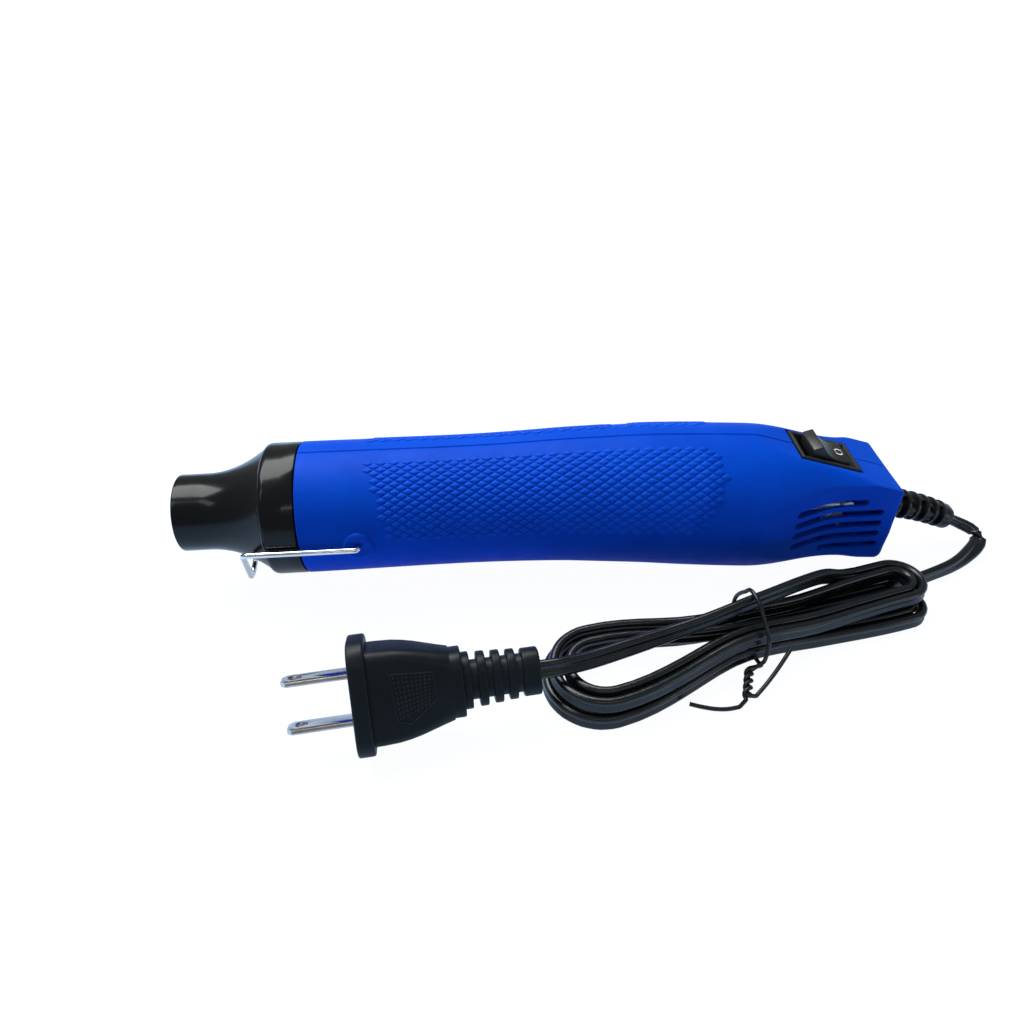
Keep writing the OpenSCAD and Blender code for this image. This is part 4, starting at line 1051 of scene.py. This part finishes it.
def loft(rows, n=7):
    sections = [roundedRect(l, w, r, n) for x, l, w, r in rows]

    def place(i, j):
        y, z = sections[i][j]
        return Vector((rows[i][0], y, z)) * mm

    return placedGrid(len(rows), len(sections[0]), place, ring=True, caps=True)


def roundedSlab(x, t, l, w, r, edge):
    rows = []
    for k in range(5):
        a = math.pi / 2 * k / 4
        drop = edge * (1 - math.sin(a))
        rows.append((x + edge * (1 - math.cos(a)), l - 2 * drop, w - 2 * drop, max(r - drop, 0.3)))
    back = [(2 * x + t - row[0], row[1], row[2], row[3]) for row in reversed(rows)]
    return loft(rows + back)


plugSize = {"flangeT": 4.6, "flangeL": 31.0, "flangeW": 18.0, "pitch": 12.7, "bladeL": 17.5, "bladeW": 6.35,
            "bladeT": 1.5, "hole": 3.2, "holeAt": 3.6}
plugPanel = {"corners": [(10.2, 6.6), (21.2, 5.6), (21.8, -1.6), (14.6, -7.2), (11.2, -6.0)],
             "rim": 0.2, "count": 9, "dots": [(11.2, 5.6), (20.4, 4.8), (19.6, -2.6), (12.0, -5.4)]}


def makePlug():
    p = plugSize
    parts = [roundedSlab(0, p["flangeT"], p["flangeL"], p["flangeW"], 6, 0.7)]
    rows = [(p["flangeT"] - 0.3, 25.4, 14.4, 2.4), (7, 25.3, 14.35, 2.4), (11, 24.9, 14.25, 2.4),
            (14, 24.1, 14.05, 2.5), (17, 22.9, 13.7, 2.7), (20, 21.4, 13.25, 3), (23, 19.9, 12.8, 3.4),
            (25.4, 18.9, 12.5, 3.8), (25.9, 18.7, 12.4, 4)]
    parts.append(loft(rows))

    def faceAt(x):
        for (x0, _, w0, _), (x1, _, w1, _) in zip(rows, rows[1:]):
            if x <= x1:
                return -mix(w0, w1, (x - x0) / (x1 - x0)) / 2
        return -rows[-1][2] / 2

    corners = [Vector((x, faceAt(x) - 0.02, z)) for x, z in plugPanel["corners"]]
    ring = []
    for i, here in enumerate(corners):
        before, after = corners[i - 1], corners[(i + 1) % len(corners)]
        ring += roundedPath([before.lerp(here, 0.5), here, here.lerp(after, 0.5)], [0, 0.9, 0], 5)[1:]
    ring = [Vector((q.x, faceAt(q.x), q.z)) for q in ring]
    count = len(ring)

    def rimPoint(i, j):
        t = (ring[(i + 1) % count] - ring[i - 1]).normalized()
        up = Vector((0, -1, 0))
        side = t.cross(up)
        a = math.tau * j / 8
        return (ring[i % count] + plugPanel["rim"] * (math.cos(a) * side + math.sin(a) * up)) * mm

    bm = bmesh.new()
    bmesh.ops.create_grid(bm, x_segments=count, y_segments=8, size=0.5)
    for v in bm.verts:
        v.co = rimPoint(round((v.co.x + 0.5) * count) % count, round((v.co.y + 0.5) * 8) % 8)
    bmesh.ops.remove_doubles(bm, verts=bm.verts, dist=1e-8)
    outward(bm)
    parts.append(bm)
    bm = bmesh.new()
    (xa, za), (xb, zb), (xc, zc), (xd, zd) = plugPanel["dots"]
    for i in range(plugPanel["count"]):
        for j in range(plugPanel["count"]):
            f, g = i / (plugPanel["count"] - 1), j / (plugPanel["count"] - 1)
            x = mix(mix(xa, xb, f), mix(xd, xc, f), g)
            z = mix(mix(za, zb, f), mix(zd, zc, f), g)
            size = Matrix.Diagonal((0.3 * mm, 0.26 * mm, 0.3 * mm, 1))
            dot = Matrix.Translation(Vector((x, faceAt(x), z)) * mm) @ size
            bmesh.ops.create_uvsphere(bm, u_segments=8, v_segments=6, radius=1.0, matrix=dot)
    parts.append(bm)
    parts.append(roundedSlab(25.5, 3.5, 18.2, 12.4, 4.4, 0.5))
    end = plugPlace["body"]
    parts.append(loft([(end - 0.3, 10.6, 7.2, 3.2), (end + plugPlace["relief"] - 0.5, 10.2, 7.0, 3.1)]))
    parts.append(roundedSlab(end - 0.3, 2.4, 15, 10.4, 4.4, 0.4))
    for i in range(3):
        parts.append(roundedSlab(end + 4 + i * 4, 2.3, 14.4 - i * 0.5, 10 - i * 0.3, 4.2, 0.4))
    parts.append(roundedSlab(end + plugPlace["relief"] - 4.8, 4.8, 12.8, 8.8, 3.8, 0.6))
    body = piece("plugBody", moved(joined(parts), plugFrame()), "plug_pvc", stands=("plug_body",), sharp=34)

    blades = []
    for side in (-1, 1):
        half, tip, slope = p["bladeW"] / 2, 1.5, 1.3
        outline = [(0.4, -half), (0.4, half), (-p["bladeL"] + slope, half), (-p["bladeL"], half - tip),
                   (-p["bladeL"], tip - half), (-p["bladeL"] + slope, -half)]
        bm = bmesh.new()
        verts = [bm.verts.new(Vector((x, y, 0)) * mm) for x, y in outline]
        edges = [bm.edges.new((a, b)) for a, b in zip(verts, verts[1:] + verts[:1])]
        holeAt = Matrix.Translation(Vector((-p["bladeL"] + p["holeAt"], 0, 0)) * mm)
        hole = bmesh.ops.create_circle(bm, cap_ends=False, segments=24, radius=p["hole"] / 2 * mm,
                                       matrix=holeAt)
        edges += list({e for v in hole["verts"] for e in v.link_edges})
        bmesh.ops.triangle_fill(bm, edges=edges, use_beauty=True, use_dissolve=False)
        pushed(bm, bm.faces[:], (0, 0, p["bladeT"] * mm))
        outward(bm)
        rimEdges = [e for e in bm.edges if len(e.link_faces) == 2 and e.calc_face_angle(0) > math.radians(60)
                    and abs(e.verts[0].co.z - e.verts[1].co.z) < 1e-9]
        softened(bm, rimEdges, 0.22, 2)
        bmesh.ops.translate(bm, vec=(0, 0, (side * p["pitch"] / 2 - p["bladeT"] / 2) * mm), verts=bm.verts)
        blades.append(bm)
    bladePiece = piece("plugBlades", moved(joined(blades), plugFrame()), "nickel", stands=("plug_blades",),
                       sharp=35)
    return body, bladePiece


plugBody, plugBlades = makePlug()
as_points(cordLine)


# Floor, light and world
# Rays that see the white backdrop: 1 for camera and transmission rays, and a share for glossy ones
def backdropRays(tree, glossy):
    path = tree.nodes.new("ShaderNodeLightPath")
    share = filled(tree.nodes.new("ShaderNodeMath"), {1: glossy})
    share.operation = "MULTIPLY"
    tree.links.new(path.outputs["Is Glossy Ray"], share.inputs[0])
    found = share.outputs[0]
    for kind in ("Is Camera Ray", "Is Transmission Ray"):
        most = tree.nodes.new("ShaderNodeMath")
        most.operation = "MAXIMUM"
        tree.links.new(found, most.inputs[0])
        tree.links.new(path.outputs[kind], most.inputs[1])
        found = most.outputs[0]
    return found


# reach holds the distances from the middle between which the glow's strength grows
# main gives the floor a blue colour and a faint blue glow that the camera barely sees: a painted blue bounce light
# on the tool's lower side and in its reflections, from a floor that glows though it is no lamp
floorLook = {"main": {"Base Color": (0.32, 0.58, 0.95, 1), "Roughness": 0.9, "Specular IOR Level": 0.1,
                      "Emission Color": (0.3, 0.6, 1, 1), "Emission Strength": 0.2},
             "glow": (1, 0.99, 0.98, 1), "reach": (0.25, 0.8), "strength": (1.14, 1.24), "share": 0.84}


def makeFloor():
    bm = bmesh.new()
    bmesh.ops.create_grid(bm, x_segments=1, y_segments=1, size=3.0)
    floor = meshObject("floor", bm)
    floor.location = (0, 0, -0.0002)
    s = Shader("paleFloor")
    filled(s.main, floorLook["main"])
    glow = filled(s.node("ShaderNodeEmission"), {"Color": floorLook["glow"]})
    reach = s.node("ShaderNodeVectorMath", operation="LENGTH")
    s.link(s.place, reach.inputs[0])
    near, far = floorLook["reach"]
    s.link(s.ranged(reach.outputs["Value"], near, far, floorLook["strength"]), glow.inputs["Strength"])
    blend = s.node("ShaderNodeMixShader")
    seen = filled(s.node("ShaderNodeMath", operation="MULTIPLY"), {1: floorLook["share"]})
    s.link(backdropRays(s.tree, 0.4), seen.inputs[0])
    s.link(seen.outputs[0], blend.inputs[0])
    s.link(s.main.outputs[0], blend.inputs[1])
    s.link(glow.outputs[0], blend.inputs[2])
    out = next(n for n in s.tree.nodes if n.type == "OUTPUT_MATERIAL")
    s.link(blend.outputs[0], out.inputs["Surface"])
    floor.data.materials.append(s.material)


# Place, aim, size, power and colour of each lamp
lamps = {
    "softbox": ((-0.22, 0.27, 0.68), (-0.02, 0, 0), (0.8, 0.42), 9.0, (1, 1, 1)),
    "window": ((-0.45, -0.25, 0.6), (-0.05, 0, 0.02), (0.12, 0.25), 0.3, (0.85, 0.96, 1)),
    "strip": ((0.12, -0.62, 0.52), (0.05, -0.03, 0), (0.7, 0.05), 0.45, (1, 0.97, 0.9)),
    "side": ((0.6, -0.35, 0.16), (0.1, 0, 0.02), (0.2, 0.2), 0.28, (0.9, 0.96, 1)),
}


def areaLight(name, place, aim, size, power, colour):
    lamp = bpy.data.lights.new(name, "AREA")
    lamp.shape = "RECTANGLE"
    lamp.size, lamp.size_y = size
    lamp.energy = power
    lamp.color = colour
    made = bpy.data.objects.new(name, lamp)
    made.location = place
    made.rotation_euler = (Vector(aim) - Vector(place)).to_track_quat("-Z", "Y").to_euler()
    bpy.context.scene.collection.objects.link(made)


def makeWorld():
    world = bpy.data.worlds.new("studio")
    bpy.context.scene.world = world
    world.use_nodes = True
    tree = world.node_tree
    back = filled(tree.nodes["Background"], {"Color": (1, 1, 1, 1)})
    level = filled(tree.nodes.new("ShaderNodeMapRange"), {"To Min": 0.08, "To Max": 1.0})
    tree.links.new(backdropRays(tree, 0.2), level.inputs["Value"])
    tree.links.new(level.outputs["Result"], back.inputs["Strength"])


makeFloor()
for name, values in lamps.items():
    areaLight(name, *values)
makeWorld()
bpy.context.scene.view_settings.view_transform = "Standard"
print("stage made")
